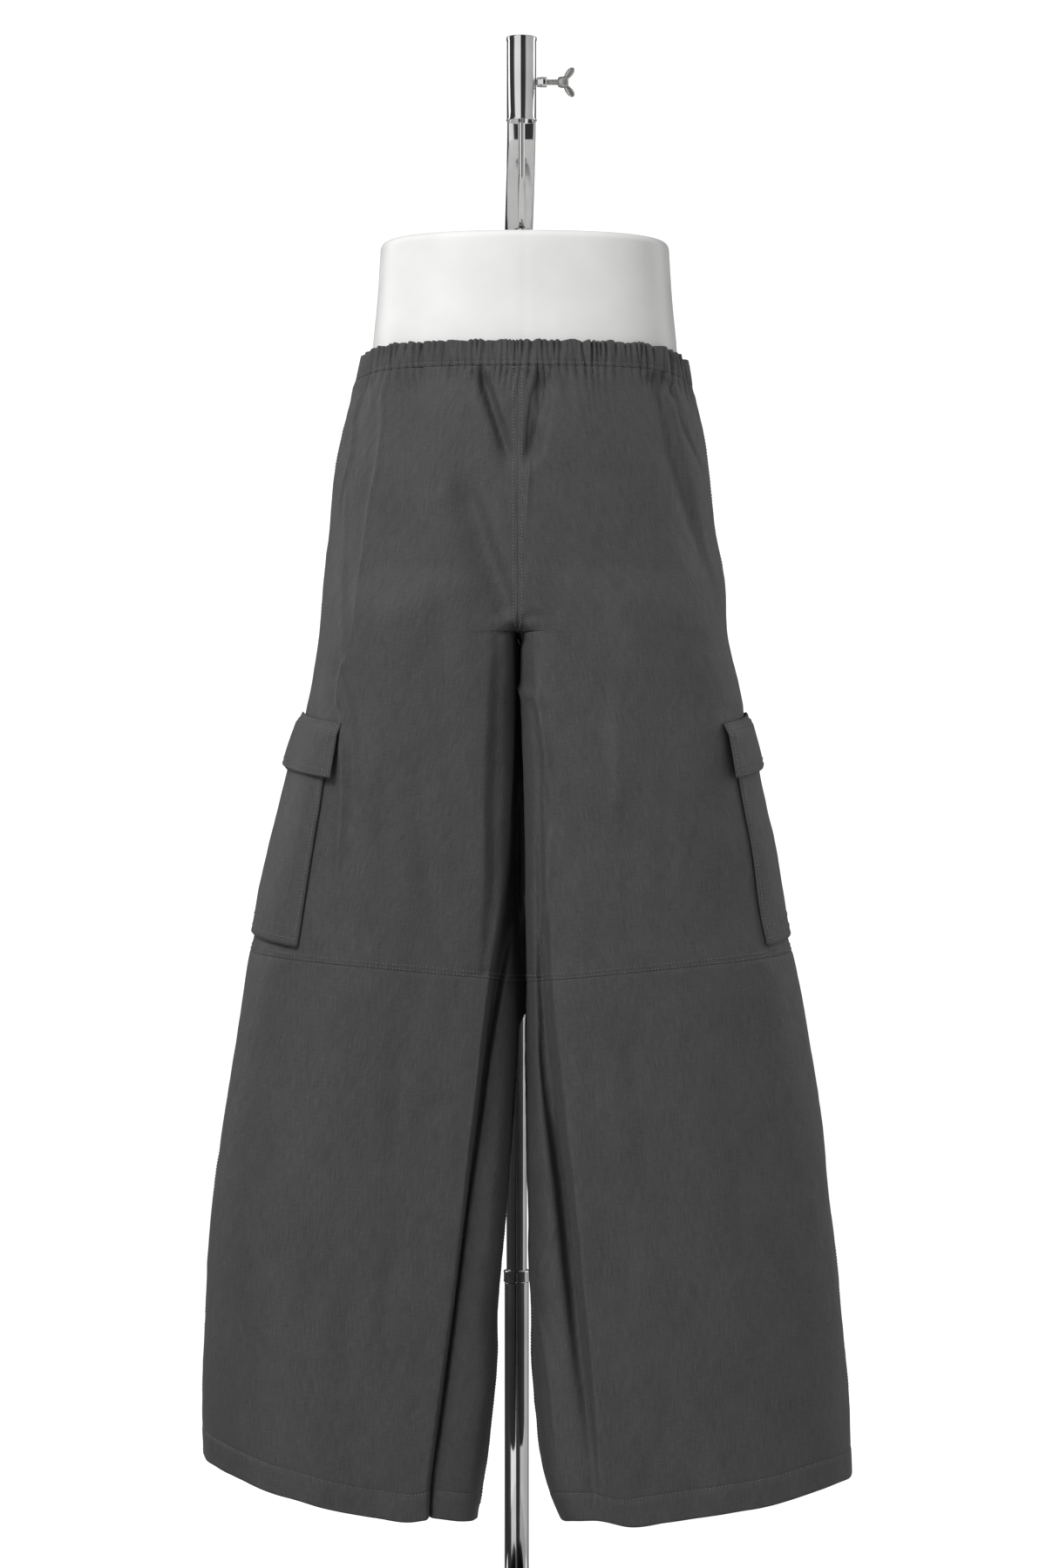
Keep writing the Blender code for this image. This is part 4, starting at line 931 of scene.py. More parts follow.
def front_creases() -> list[Crease]:
    """The creases that show on the front, listed one by one.

    Returns:
        The creases.
    """
    # height, half width, lean, ends, path
    left = (
        (-0.0010, 0.0024, 1.0, (0.02, 0.20), ((-0.0339, 1.1236), (-0.0293, 1.1078), (-0.0233, 1.0889),
         (-0.0165, 1.0692), (-0.0104, 1.0526), (-0.0051, 1.0344))),
        (0.0026, 0.0042, 1.2, (0.03, 0.35), ((-0.0422, 1.1214), (-0.0369, 1.1017), (-0.0301, 1.0790),
         (-0.0210, 1.0579), (-0.0119, 1.0397))),
        (0.0024, 0.0036, 1.2, (0.03, 0.35), ((-0.0248, 1.1221), (-0.0187, 1.1032), (-0.0119, 1.0821),
         (-0.0059, 1.0624))),
        (-0.0014, 0.0024, 1.4, (0.35, 0.40), ((-0.0649, 1.1244), (-0.0573, 1.1138), (-0.0497, 1.1025))),
        (-0.0010, 0.0024, 1.4, (0.40, 0.40), ((-0.0890, 1.1244), (-0.0807, 1.1138))),
        (-0.0060, 0.0170, 0.5, (0.50, 0.12), ((-0.0528, 1.0435), (-0.0369, 0.9868), (-0.0240, 0.9452),
         (-0.0089, 0.9112), (-0.0013, 0.8961))),
        (-0.0016, 0.0034, 1.3, (0.30, 0.05), ((-0.0210, 0.9172), (-0.0104, 0.9021), (-0.0013, 0.8931))),
        (-0.0008, 0.0030, 1.2, (0.05, 0.40), ((-0.0029, 0.8946), (-0.0119, 0.8908), (-0.0233, 0.8847))),
        (0.0028, 0.0023, 1.2, (0.08, 0.35), ((-0.1374, 1.1078), (-0.1435, 1.0775), (-0.1450, 1.0526),
         (-0.1518, 1.0269), (-0.1609, 0.9845))),
        (0.0016, 0.0055, 1.4, (0.06, 0.30), ((-0.1147, 1.1229), (-0.1163, 1.0775), (-0.1193, 1.0450),
         (-0.1276, 1.0019), (-0.1329, 0.9566), (-0.1389, 0.9188), (-0.1450, 0.8810))),
        (0.0028, 0.0023, 1.0, (0.06, 0.30), ((-0.1155, 1.1153), (-0.1163, 1.0775), (-0.1193, 1.0450),
         (-0.1276, 1.0019), (-0.1329, 0.9566), (-0.1389, 0.9188), (-0.1450, 0.8810))),
        (0.0015, 0.0030, 1.1, (0.06, 0.40), ((-0.1276, 1.1191), (-0.1284, 1.1002), (-0.1284, 1.0805))),
        (0.0012, 0.0030, 1.1, (0.20, 0.40), ((-0.1223, 1.1025), (-0.1193, 1.0881), (-0.1178, 1.0737))),
        (0.0016, 0.0036, 1.1, (0.20, 0.40), ((-0.1503, 1.0322), (-0.1518, 0.9770), (-0.1525, 0.9188),
         (-0.1518, 0.8681))),
        (0.0012, 0.0050, 1.3, (0.12, 0.30), ((-0.1518, 0.8772), (-0.1533, 0.8129), (-0.1510, 0.7487),
         (-0.1541, 0.6995), (-0.1556, 0.6466))),
        (0.0028, 0.0023, 1.0, (0.06, 0.30), ((-0.1450, 0.8734), (-0.1518, 0.8621), (-0.1533, 0.8129),
         (-0.1510, 0.7487), (-0.1541, 0.6995), (-0.1556, 0.6466))),
        (-0.0022, 0.0050, 1.2, (0.15, 0.35), ((-0.1677, 0.8772), (-0.1556, 0.8583), (-0.1450, 0.8129),
         (-0.1427, 0.7487), (-0.1450, 0.6920))),
        (0.0010, 0.0026, 1.1, (0.30, 0.30), ((-0.1767, 0.6731), (-0.1760, 0.6390), (-0.1752, 0.6088))),
        (0.0010, 0.0026, 1.1, (0.30, 0.30), ((-0.1805, 0.5634), (-0.1828, 0.5219), (-0.1866, 0.4765))),
        (-0.0016, 0.0090, 1.0, (0.30, 0.40), ((-0.0822, 0.7373), (-0.0792, 0.6768), (-0.0671, 0.6126))),
        (-0.0014, 0.0080, 1.0, (0.30, 0.40), ((-0.1147, 0.7902), (-0.1163, 0.7373), (-0.1072, 0.6768))),
        (-0.0016, 0.0080, 1.0, (0.30, 0.30), ((-0.1004, 0.5483), (-0.1049, 0.4727), (-0.1102, 0.4198))),
        (-0.0013, 0.0070, 1.0, (0.30, 0.30), ((-0.1042, 0.3631), (-0.1117, 0.3291), (-0.1163, 0.2762))),
        (-0.0010, 0.0030, 1.0, (0.30, 0.10), ((-0.0497, 0.5952), (-0.0346, 0.5959), (-0.0195, 0.5997))),
        (-0.0014, 0.0034, 1.3, (0.25, 0.40), ((-0.1896, 0.2671), (-0.1790, 0.2520), (-0.1563, 0.2293))),
        (-0.0012, 0.0034, 1.3, (0.25, 0.40), ((-0.2463, 0.4954), (-0.2425, 0.4765), (-0.2365, 0.4591))),
        (-0.0009, 0.0030, 1.0, (0.30, 0.30), ((-0.0966, 0.2142), (-0.0830, 0.2232))),
    )
    right = (
        (-0.0013, 0.0024, 1.0, (0.02, 0.25), ((0.0221, 1.1206), (0.0176, 1.1100), (0.0138, 1.1002),
         (0.0107, 1.0813), (0.0092, 1.0624), (0.0092, 1.0375))),
        (0.0026, 0.0044, 1.2, (0.03, 0.35), ((0.0304, 1.1199), (0.0244, 1.1032), (0.0191, 1.0851),
         (0.0168, 1.0579))),
        (0.0015, 0.0030, 1.2, (0.03, 0.35), ((0.0145, 1.1214), (0.0092, 1.1047), (0.0062, 1.0851),
         (0.0047, 1.0654))),
        (0.0022, 0.0022, 1.0, (0.20, 0.30), ((0.0115, 1.0473), (0.0107, 1.0322), (0.0085, 1.0117),
         (0.0062, 0.9770))),
        (-0.0013, 0.0030, 1.4, (0.10, 0.40), ((0.0425, 1.1229), (0.0448, 1.0964), (0.0523, 1.0775))),
        (-0.0016, 0.0034, 1.3, (0.05, 0.40), ((0.0032, 0.9021), (0.0138, 0.9052), (0.0274, 0.9029))),
        (-0.0016, 0.0030, 1.2, (0.05, 0.40), ((0.0032, 0.8915), (0.0077, 0.8810), (0.0115, 0.8689))),
        (-0.0036, 0.0050, 2.2, (0.04, 0.40), ((0.1166, 1.1229), (0.1310, 1.0873), (0.1370, 1.0526),
         (0.1483, 1.0117), (0.1582, 0.9792), (0.1710, 0.9361), (0.1816, 0.9074))),
        (-0.0024, 0.0032, 1.8, (0.04, 0.40), ((0.1241, 1.1229), (0.1385, 1.1025), (0.1483, 1.0700),
         (0.1604, 1.0450), (0.1688, 1.0117))),
        (-0.0010, 0.0026, 1.0, (0.30, 0.30), ((0.2353, 0.5574), (0.2481, 0.5476))),
        (0.0022, 0.0046, 1.7, (0.12, 0.20), ((0.0062, 0.8870), (0.0123, 0.8628), (0.0168, 0.8386),
         (0.0206, 0.8144), (0.0244, 0.7910), (0.0236, 0.7547), (0.0244, 0.7305), (0.0259, 0.6942),
         (0.0259, 0.6579), (0.0236, 0.6337), (0.0259, 0.6096), (0.0289, 0.5619), (0.0387, 0.4841),
         (0.0463, 0.4122), (0.0538, 0.3366), (0.0591, 0.2762), (0.0629, 0.2384))),
        (0.0016, 0.0020, 1.0, (0.08, 0.20), ((0.0062, 0.8847), (0.0123, 0.8628), (0.0168, 0.8386),
         (0.0206, 0.8144), (0.0244, 0.7910), (0.0236, 0.7547), (0.0244, 0.7305), (0.0259, 0.6942),
         (0.0259, 0.6579), (0.0236, 0.6337), (0.0259, 0.6096), (0.0289, 0.5619), (0.0387, 0.4841),
         (0.0463, 0.4122), (0.0538, 0.3366), (0.0591, 0.2762), (0.0629, 0.2384))),
        (0.0016, 0.0019, 1.0, (0.15, 0.30), ((0.0039, 0.7668), (0.0077, 0.7305), (0.0100, 0.7109),
         (0.0123, 0.6867), (0.0183, 0.6579), (0.0221, 0.6458))),
        (-0.0046, 0.0044, 1.5, (0.20, 0.25), ((0.0191, 0.5710), (0.0289, 0.4765), (0.0387, 0.4107),
         (0.0463, 0.3442), (0.0531, 0.2762), (0.0576, 0.2308))),
        (0.0016, 0.0026, 1.0, (0.20, 0.30), ((0.0062, 0.4954), (0.0107, 0.4576), (0.0160, 0.4107))),
        (0.0018, 0.0026, 1.0, (0.20, 0.30), ((0.0334, 0.3760), (0.0251, 0.3548), (0.0191, 0.3404),
         (0.0153, 0.3261))),
        (0.0018, 0.0028, 1.0, (0.15, 0.30), ((0.0130, 0.3124), (0.0236, 0.2686), (0.0289, 0.2308),
         (0.0334, 0.1718))),
        (-0.0012, 0.0080, 1.0, (0.30, 0.40), ((0.1257, 0.7600), (0.1294, 0.6844), (0.1226, 0.6239))),
        (-0.0014, 0.0090, 1.0, (0.30, 0.40), ((0.0954, 0.5483), (0.1068, 0.4576), (0.1121, 0.3820))),
        (-0.0012, 0.0070, 1.0, (0.30, 0.30), ((0.1786, 0.4954), (0.1899, 0.4198), (0.1937, 0.3291))),
        (0.0014, 0.0060, 1.0, (0.30, 0.30), ((0.0803, 0.8356), (0.0863, 0.7751), (0.0841, 0.7146))),
        (-0.0013, 0.0060, 1.0, (0.30, 0.40), ((0.2164, 0.5483), (0.2262, 0.4576), (0.2353, 0.3669))),
    )
    made = [Crease(Leg.LEFT, Side.FRONT, *row) for row in left]
    return made + [Crease(Leg.RIGHT, Side.FRONT, *row) for row in right]


def hidden_creases(seed: int = 11) -> list[Crease]:
    """Creases of the same kind on the sides that the picture doesn't show.

    Args:
        seed: Fixes their places and sizes.

    Returns:
        The creases.
    """
    rng = np.random.default_rng(seed)
    made = []
    for leg in Leg:
        for top in np.linspace(0.02, 0.13, 7):
            x = leg.sign * (top + rng.uniform(-0.006, 0.006))
            run = rng.uniform(0.035, 0.10)
            lean = x * rng.uniform(0.02, 0.10)
            path = ((x, 1.116), (x + 0.4 * lean, 1.116 - 0.5 * run), (x + lean, 1.116 - run))
            depth = -rng.uniform(0.0012, 0.0032)
            made.append(Crease(leg, Side.BACK, depth, rng.uniform(0.0025, 0.005), 1.4, (0.02, 0.5), path))
        for _ in range(9):
            z = rng.uniform(0.30, 0.98)
            x = leg.sign * rng.uniform(0.05, 0.20 if z < 0.8 else 0.15)
            run = rng.uniform(0.08, 0.20)
            sway = rng.uniform(-0.012, 0.012)
            grow = leg.sign * run * 0.12
            path = ((x, z), (x + 0.5 * grow + sway, z - 0.5 * run), (x + grow, z - run))
            height = rng.choice([-1.0, 1.0]) * rng.uniform(0.0012, 0.0028)
            made.append(Crease(leg, Side.BACK, height, rng.uniform(0.004, 0.010), 1.2, (0.3, 0.4), path))
        # a fan of creases from the crotch: reach and depth
        for reach, depth in ((0.030, 0.0030), (0.052, 0.0024), (0.018, 0.0018)):
            path = (
                (leg.sign * 0.002, 0.905),
                (leg.sign * 0.5 * reach, 0.900 - 0.3 * reach),
                (leg.sign * reach, 0.893 - 0.9 * reach),
            )
            made.append(Crease(leg, Side.BACK, -depth, 0.0045, 1.2, (0.05, 0.5), path))
    return made


@dataclass
class ClothGrid:
    """A dense grid of cloth over one side of one leg, from the waist to the hem."""

    leg: Leg
    side: Side
    points: np.ndarray
    across: np.ndarray
    length: np.ndarray
    share: np.ndarray
    knee_row: int
    normals: np.ndarray = field(default_factory=lambda: np.zeros(0))

    @property
    def run(self) -> np.ndarray:
        """Distance along the cloth from the side seam, below 0 towards the middle."""
        return self.across - self.length

    def on_cloth(self, line: np.ndarray) -> np.ndarray:
        """Turn x and height on the face into distance along the cloth and height.

        Args:
            line: x and height of each point.

        Returns:
            Distance from the side seam and height of each point.
        """
        out = line.copy()
        sign = self.leg.sign
        middle = self.points[:, self.points.shape[1] // 2, 2]
        for k, (x, z) in enumerate(line):
            row = int(np.abs(middle - z).argmin())
            xs = self.points[row, :, 0] * sign
            top = int(xs.argmax())
            out[k, 0] = np.interp(x * sign, np.maximum.accumulate(xs[: top + 1]), self.run[row, : top + 1])
        return out

    def find_normals(self) -> None:
        """Work out the unit normals, outward from the leg."""
        along = np.gradient(self.points, axis=1)
        down = np.gradient(self.points, axis=0)
        n = unit(np.cross(along, down))
        middle = n.shape[1] // 2
        if n[n.shape[0] // 3, middle, 1] * self.side.facing < 0:
            n = -n
        for _ in range(2):
            n[1:-1] = unit(n[:-2] + 2 * n[1:-1] + n[2:])
            n[:, 1:-1] = unit(n[:, :-2] + 2 * n[:, 1:-1] + n[:, 2:])
        self.normals = n


# ------------------------------------------------------------------ the trousers' panels
@dataclass
class Trousers:
    """Eight panels of crinkled nylon: upper and lower, front and back, left and right."""

    shape: TrouserShape
    fabric: bpy.types.Material
    body: str = "form"
    columns: tuple[int, int] = (198, 94)
    wall_columns: tuple[int, int] = (40, 20)
    crowding: tuple[float, float] = (1.25, 1.0)
    wall: float = 0.0009
    # moves the weave's pattern along the cloth
    pattern_shift: float = 0.4
    seam_rows: float = 0.0038
    hem_turn: float = 0.0235
    # rows this far above the crotch point meet in the centre seam
    crotch_gap: float = 0.0004
    # how far the close columns reach past the inner wall, and how they crowd towards the seam
    strip_extra: float = 0.012
    strip_crowding: float = 0.65
    # rows of the four parts: waist to rise, rise to crotch, crotch to knee seam, knee seam to hem
    part_rows: tuple[int, int, int, int] = (40, 36, 86, 108)
    # usual heights of all but the second
    usual_runs: tuple[float, float, float] = (0.118, 0.29, 0.46)
    # distances of the close rows from a seam, and from the hem
    edge_rows: tuple[float, ...] = (0.0, 0.0009, 0.0020, 0.0034, 0.0052)
    hem_rows: tuple[float, ...] = (
        0.0282, 0.0262, 0.0243, 0.0235, 0.0226, 0.0206, 0.0175, 0.014, 0.0105, 0.007, 0.004, 0.0018, 0.0,
    )
    # crinkles of all sizes: seed, size along x, y and z, height everywhere, then the height added
    # below the hips, away from the gathers, in the flare above the hem and close to the hem
    crinkles: tuple[tuple, ...] = (
        (3, (0.050, 0.060, 0.190), 0.0, 0.0016, 0.0, 0.0, 0.0),
        (4, (0.020, 0.020, 0.060), 0.0004, 0.0005, 0.0, 0.0, 0.0),
        (5, (0.011, 0.011, 0.019), 0.0, 0.0, 0.00034, 0.0, 0.0),
        (6, (0.006, 0.006, 0.008), 0.0, 0.0, 0.00018, 0.0, 0.0),
        (7, (0.042, 0.042, 0.50), 0.0, 0.0, 0.0, 0.0030, 0.0),
        (8, (0.014, 0.014, 0.018), 0.0, 0.0, 0.0, 0.0, 0.0007),
    )
    # run of the shortest gathers below the waistband, and how much longer the longest are
    gather_runs: tuple[float, float] = (0.010, 0.030)
    # distance from a seam over which laid creases fade
    crease_fade: float = 0.007
    # pinch and puckers along the seams
    pinch_depth: float = 0.0008
    pinch_half: float = 0.0016
    pucker_height: float = 0.00042
    pucker_half: float = 0.0030
    # raised edge of the turned hem, and the groove of its stitches: height and width
    hem_step: tuple[float, float] = (0.0005, 0.0016)
    hem_groove: tuple[float, float] = (0.0006, 0.0013)
    pocket_starts: dict[Leg, float] = field(default_factory=lambda: {Leg.LEFT: 0.344, Leg.RIGHT: 0.373})
    seam_offsets: tuple[float, ...] = (0.0, 0.0008, 0.0017, 0.0027, 0.0038, 0.005, 0.0065, 0.0085)
    grids: dict[tuple[Leg, Side], ClothGrid] = field(default_factory=dict)
    outer: dict[tuple[Leg, Side], np.ndarray] = field(default_factory=dict)

    def shares(self, side: Side, length: np.ndarray, wall: np.ndarray) -> np.ndarray:
        """Columns of a row: close together by the seams, and on the front by its inner fold.

        Args:
            side: Front or back.
            length: Cloth from the middle to the side seam, one value a row.
            wall: Part of it on the leg's inner wall.

        Returns:
            Shares of the way, a row for each length.
        """
        near = np.array(self.seam_offsets)
        back = side is Side.BACK
        strip = self.wall_columns[back]
        face = self.columns[back] + 1 - 2 * len(near) - strip
        length, wall = length[:, None], wall[:, None] + near[-1] + self.strip_extra
        step = np.linspace(0.0, 1.0, strip + 1)[None, 1:] ** self.strip_crowding
        inner = near[-1] + (wall - near[-1]) * step
        step = np.linspace(0.0, 1.0, face + 2)[None, 1:-1] ** self.crowding[back]
        outer = wall + (length - near[-1] - wall) * step
        ends = near[None, :] + 0 * length
        return np.concatenate([ends, inner, outer, length - ends[:, ::-1]], axis=1) / length

    def lay_out(self, leg: Leg, side: Side) -> ClothGrid:
        """Lay a grid of points over one side of a leg.

        Args:
            leg: Which leg.
            side: Front or back.

        Returns:
            The grid, with its normals.
        """
        shape = self.shape
        near = np.array(self.edge_rows)
        waist_run, thigh_run, shin_run = self.usual_runs
        waist_rows, rise_rows, thigh_rows, shin_rows = self.part_rows
        waist = np.concatenate([near / waist_run, np.linspace(0.065, 1.0, waist_rows)])
        rise = (1.0 - np.linspace(0.0, 1.0, rise_rows)[1:]) ** 2
        thigh = np.concatenate([np.linspace(0.0, 0.978, thigh_rows)[1:], 1.0 - near[::-1] / thigh_run])
        hem_part = 1.0 - np.array(self.hem_rows) / shin_run
        shin = np.concatenate([near / shin_run, np.linspace(0.016, 0.93, shin_rows), hem_part])
        blank = np.full(self.columns[side is Side.BACK] + 1, 0.5)

        def levels(share: np.ndarray) -> np.ndarray:
            """Height of every row at each column, from the shares at the waist and at the hem."""
            top = shape.waist_height(leg, side, share[0])
            knee = shape.knee_height(side, share[-1])
            hem = shape.hem_height(leg, side, share[-1])
            z = [top + (shape.z_rise - top) * u for u in waist]
            z += [np.full_like(top, shape.z_crotch + (shape.z_rise - shape.z_crotch) * u) for u in rise]
            z += [shape.z_crotch + (knee - shape.z_crotch) * u for u in thigh]
            z += [knee + (hem - knee) * u for u in shin[1:]]
            return np.array(z)

        z = levels(np.tile(blank, (2, 1)))
        _, length = shape.place(leg, side, 0.5, z[:, 0])
        share = self.shares(side, length, shape.wall_run(leg, side, z[:, 0]))
        z = levels(share[[0, -1]])
        points, length = shape.place(leg, side, share, z)
        knee_row = len(waist) + len(rise) + len(thigh) - 1
        grid = ClothGrid(leg, side, points, share * length, length, share, knee_row)
        grid.find_normals()
        return grid

    def sew_normals(self) -> None:
        """Give neighbouring grids the same normals along their seams.

        The rows above the crotch, which meet in the centre seam, are the same ones in every grid.
        """
        for leg in Leg:
            front, back = self.grids[leg, Side.FRONT], self.grids[leg, Side.BACK]
            mean = unit(front.normals[:, -1] + back.normals[:, -1])
            front.normals[:, -1] = back.normals[:, -1] = mean
            for grid in (front, back):
                above = grid.points[:, 0, 2] > self.shape.z_crotch + self.crotch_gap
                plane = grid.normals[:, 0] * np.array([0.0, 1.0, 1.0])
                facing = np.tile(np.array([-leg.sign, 0.0, 0.0]), (len(plane), 1))
                grid.normals[:, 0] = np.where(above[:, None], unit(plane), facing)
        for side in Side:
            left, right = self.grids[Leg.LEFT, side], self.grids[Leg.RIGHT, side]
            mean = unit(left.normals[above, 0] + right.normals[above, 0])
            left.normals[above, 0] = right.normals[above, 0] = mean

    def relief(self, grid: ClothGrid, creases: Iterable[Crease]) -> np.ndarray:
        """How far the cloth stands off the smooth form.

        Args:
            grid: The grid of cloth.
            creases: The hand-laid creases of all sides.

        Returns:
            creases: The laid creases of all sides.
        """
        shape, p = self.shape, grid.points
        z = p[..., 2]
        top = z[0][None, :]
        under = top - z
        heading = shape.heading(p[..., 0], p[..., 1])
        long_short = 0.5 + 0.5 * np.sin(9 * heading + 0.7) * np.sin(4 * heading + 2.1)
        calm = smooth(under / 0.006)
        lean = under * (1.1 * np.sin(5 * heading + 2.0) + 0.7 * np.sin(11 * heading))
        shortest, longer = self.gather_runs
        depth = np.exp(-((under / (shortest + longer * long_short**2)) ** 1.2))
        below_band = 1.0 + 0.5 * calm * (1.0 - smooth((under - 0.006) / 0.02))
        out = shape.gather(heading + lean) * depth * below_band
        own = [crease for crease in creases if (crease.leg, crease.side) == (grid.leg, grid.side)]
        laid = sum(crease.relief(grid) for crease in own)
        fade = self.crease_fade
        out = out + laid * smooth(grid.across / fade) * smooth((grid.length - grid.across) / fade)
        hem = z[-1][None, :]
        low = smooth((1.02 - z) / 0.15)
        flare = smooth(1.0 - (z - hem) / 0.16)
        near_hem = smooth(1.0 - (z - hem) / 0.05)
        for seed, size, everywhere, *parts in self.crinkles:
            added = sum(part * where for part, where in zip(parts, (low, calm, flare, near_hem)) if part)
            out = out + (everywhere + added) * Swell(seed, size).at(p)
        out = self.calm_under_pocket(grid, out)
        knee = z[grid.knee_row][None, :]
        lines = [(np.abs(z - knee), 0.45), (grid.length - grid.across, 1.0), (grid.across, 0.25)]
        pucker = Swell(9, (0.009, 0.009, 0.0075)).at(p)
        for gap, depth in lines:
            out = out - depth * self.pinch_depth * np.exp(-((gap / self.pinch_half) ** 2))
            row_gap = np.abs(gap - 0.5 * self.seam_rows - 0.0014)
            out = out + self.pucker_height * pucker * np.exp(-((row_gap / self.pucker_half) ** 2))
        up = z - hem
        (step, step_width), (groove, groove_width) = self.hem_step, self.hem_groove
        out = out + step * smooth((self.hem_turn + 0.0004 - up) / step_width)
        return out - groove * np.exp(-(((up - self.hem_turn) / groove_width) ** 2))

    def calm_under_pocket(self, grid: ClothGrid, relief: np.ndarray) -> np.ndarray:
        """Flatten the cloth that a pocket covers.

        Args:
            grid: The grid of cloth.
            relief: Heights so far.

        Returns:
            The heights, held down under the pocket.
        """
        z = grid.points[..., 2]
        start = 2.0 * self.pocket_starts[grid.leg]
        start = self.shape.measured_share(grid.leg, grid.side, start, z[:, :1])
        low, high, fade, sunk = 0.612, 0.832, 0.010, 0.0006
        covered = smooth((grid.share - start + 0.014) / 0.028)
        covered = covered * smooth((high - z) / fade) * smooth((z - low) / fade)
        return relief * (1.0 - covered) - sunk * covered

    def panel(self, name: str, grid: ClothGrid, first: int, last: int) -> tuple[bpy.types.Object, tuple]:
        """Make one panel from part of a grid, and measure its cut.

        Args:
            name: Name of the piece.
            grid: The grid.
            first: First row.
            last: Row after the last.

        Returns:
            The panel and its cut: width, length and area.
        """
        rows = slice(first, last)
        outer, normals = self.outer[grid.leg, grid.side][rows], grid.normals[rows]
        uv = np.stack([grid.leg.sign * (grid.run[rows] + self.pattern_shift), outer[..., 2]], axis=-1)
        obj = walled_mesh(name, outer, outer - normals * self.wall, normals, uv)
        obj.data.materials.append(self.fabric)
        a, b = outer[1:, 1:] - outer[:-1, :-1], outer[1:, :-1] - outer[:-1, 1:]
        area = 0.5 * np.linalg.norm(np.cross(a, b), axis=-1).sum()
        wide = np.linalg.norm(np.diff(outer, axis=1), axis=-1).sum(axis=1).max()
        long = np.linalg.norm(np.diff(outer, axis=0), axis=-1).sum(axis=0).max()
        return obj, (float(wide), float(long), float(area))

    def build(self) -> dict[str, bpy.types.Object]:
        """Returns:
            The panels by the name of the solid that each stands for.
        """
        creases = front_creases() + hidden_creases()
        for leg in Leg:
            for side in Side:
                self.grids[leg, side] = self.lay_out(leg, side)
        self.sew_normals()
        made = {}
        for (leg, side), grid in self.grids.items():
            self.outer[leg, side] = grid.points + grid.normals * self.relief(grid, creases)[..., None]
        for (leg, side), grid in self.grids.items():
            k = grid.knee_row
            for part, first, last in (("upper", 0, k + 1), ("lower", k, len(grid.points))):
                node = f"{side.value}_{part}_{leg.value}"
                obj, cut = self.panel(f"cloth_{node}", grid, first, last)
                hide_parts(node)
                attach(obj, self.body)
                made[node] = obj
                LOG.info("%s: cut %.0f x %.0f mm", obj.name, 1000 * cut[0], 1000 * cut[1])
        return made

    def line_down(
        self, leg: Leg, side: Side, gap: float, first: int, last: int, from_side: bool = False
    ) -> Line:
        """A line down the cloth at a distance from the middle or the side seam.

        Args:
            leg: Which leg.
            side: Front or back.
            gap: Distance along the cloth.
            first: First row.
            last: Row after the last.
            from_side: Measure from the side seam.

        Returns:
            Points and normals.
        """
        grid, outer = self.grids[leg, side], self.outer[leg, side]
        p, n = [], []
        for k in range(first, last):
            at = grid.length[k, 0] - gap if from_side else gap
            p.append([np.interp(at, grid.across[k], outer[k, :, c]) for c in range(3)])
            n.append([np.interp(at, grid.across[k], grid.normals[k, :, c]) for c in range(3)])
        return np.array(p), unit(np.array(n))

    def line_across(self, leg: Leg, side: Side, height: Callable[[np.ndarray], np.ndarray]) -> Line:
        """A line across the cloth at given heights.

        Args:
            leg: Which leg.
            side: Front or back.
            height: Gives the height for each column's share.

        Returns:
            Points and normals.
        """
        grid, outer = self.grids[leg, side], self.outer[leg, side]
        z = grid.points[..., 2]
        want = height(grid.share[-1])
        p, n = [], []
        for i in range(1, z.shape[1] - 1):
            down = -z[:, i]
            p.append([np.interp(-want[i], down, outer[:, i, c]) for c in range(3)])
            n.append([np.interp(-want[i], down, grid.normals[:, i, c]) for c in range(3)])
        return np.array(p), unit(np.array(n))


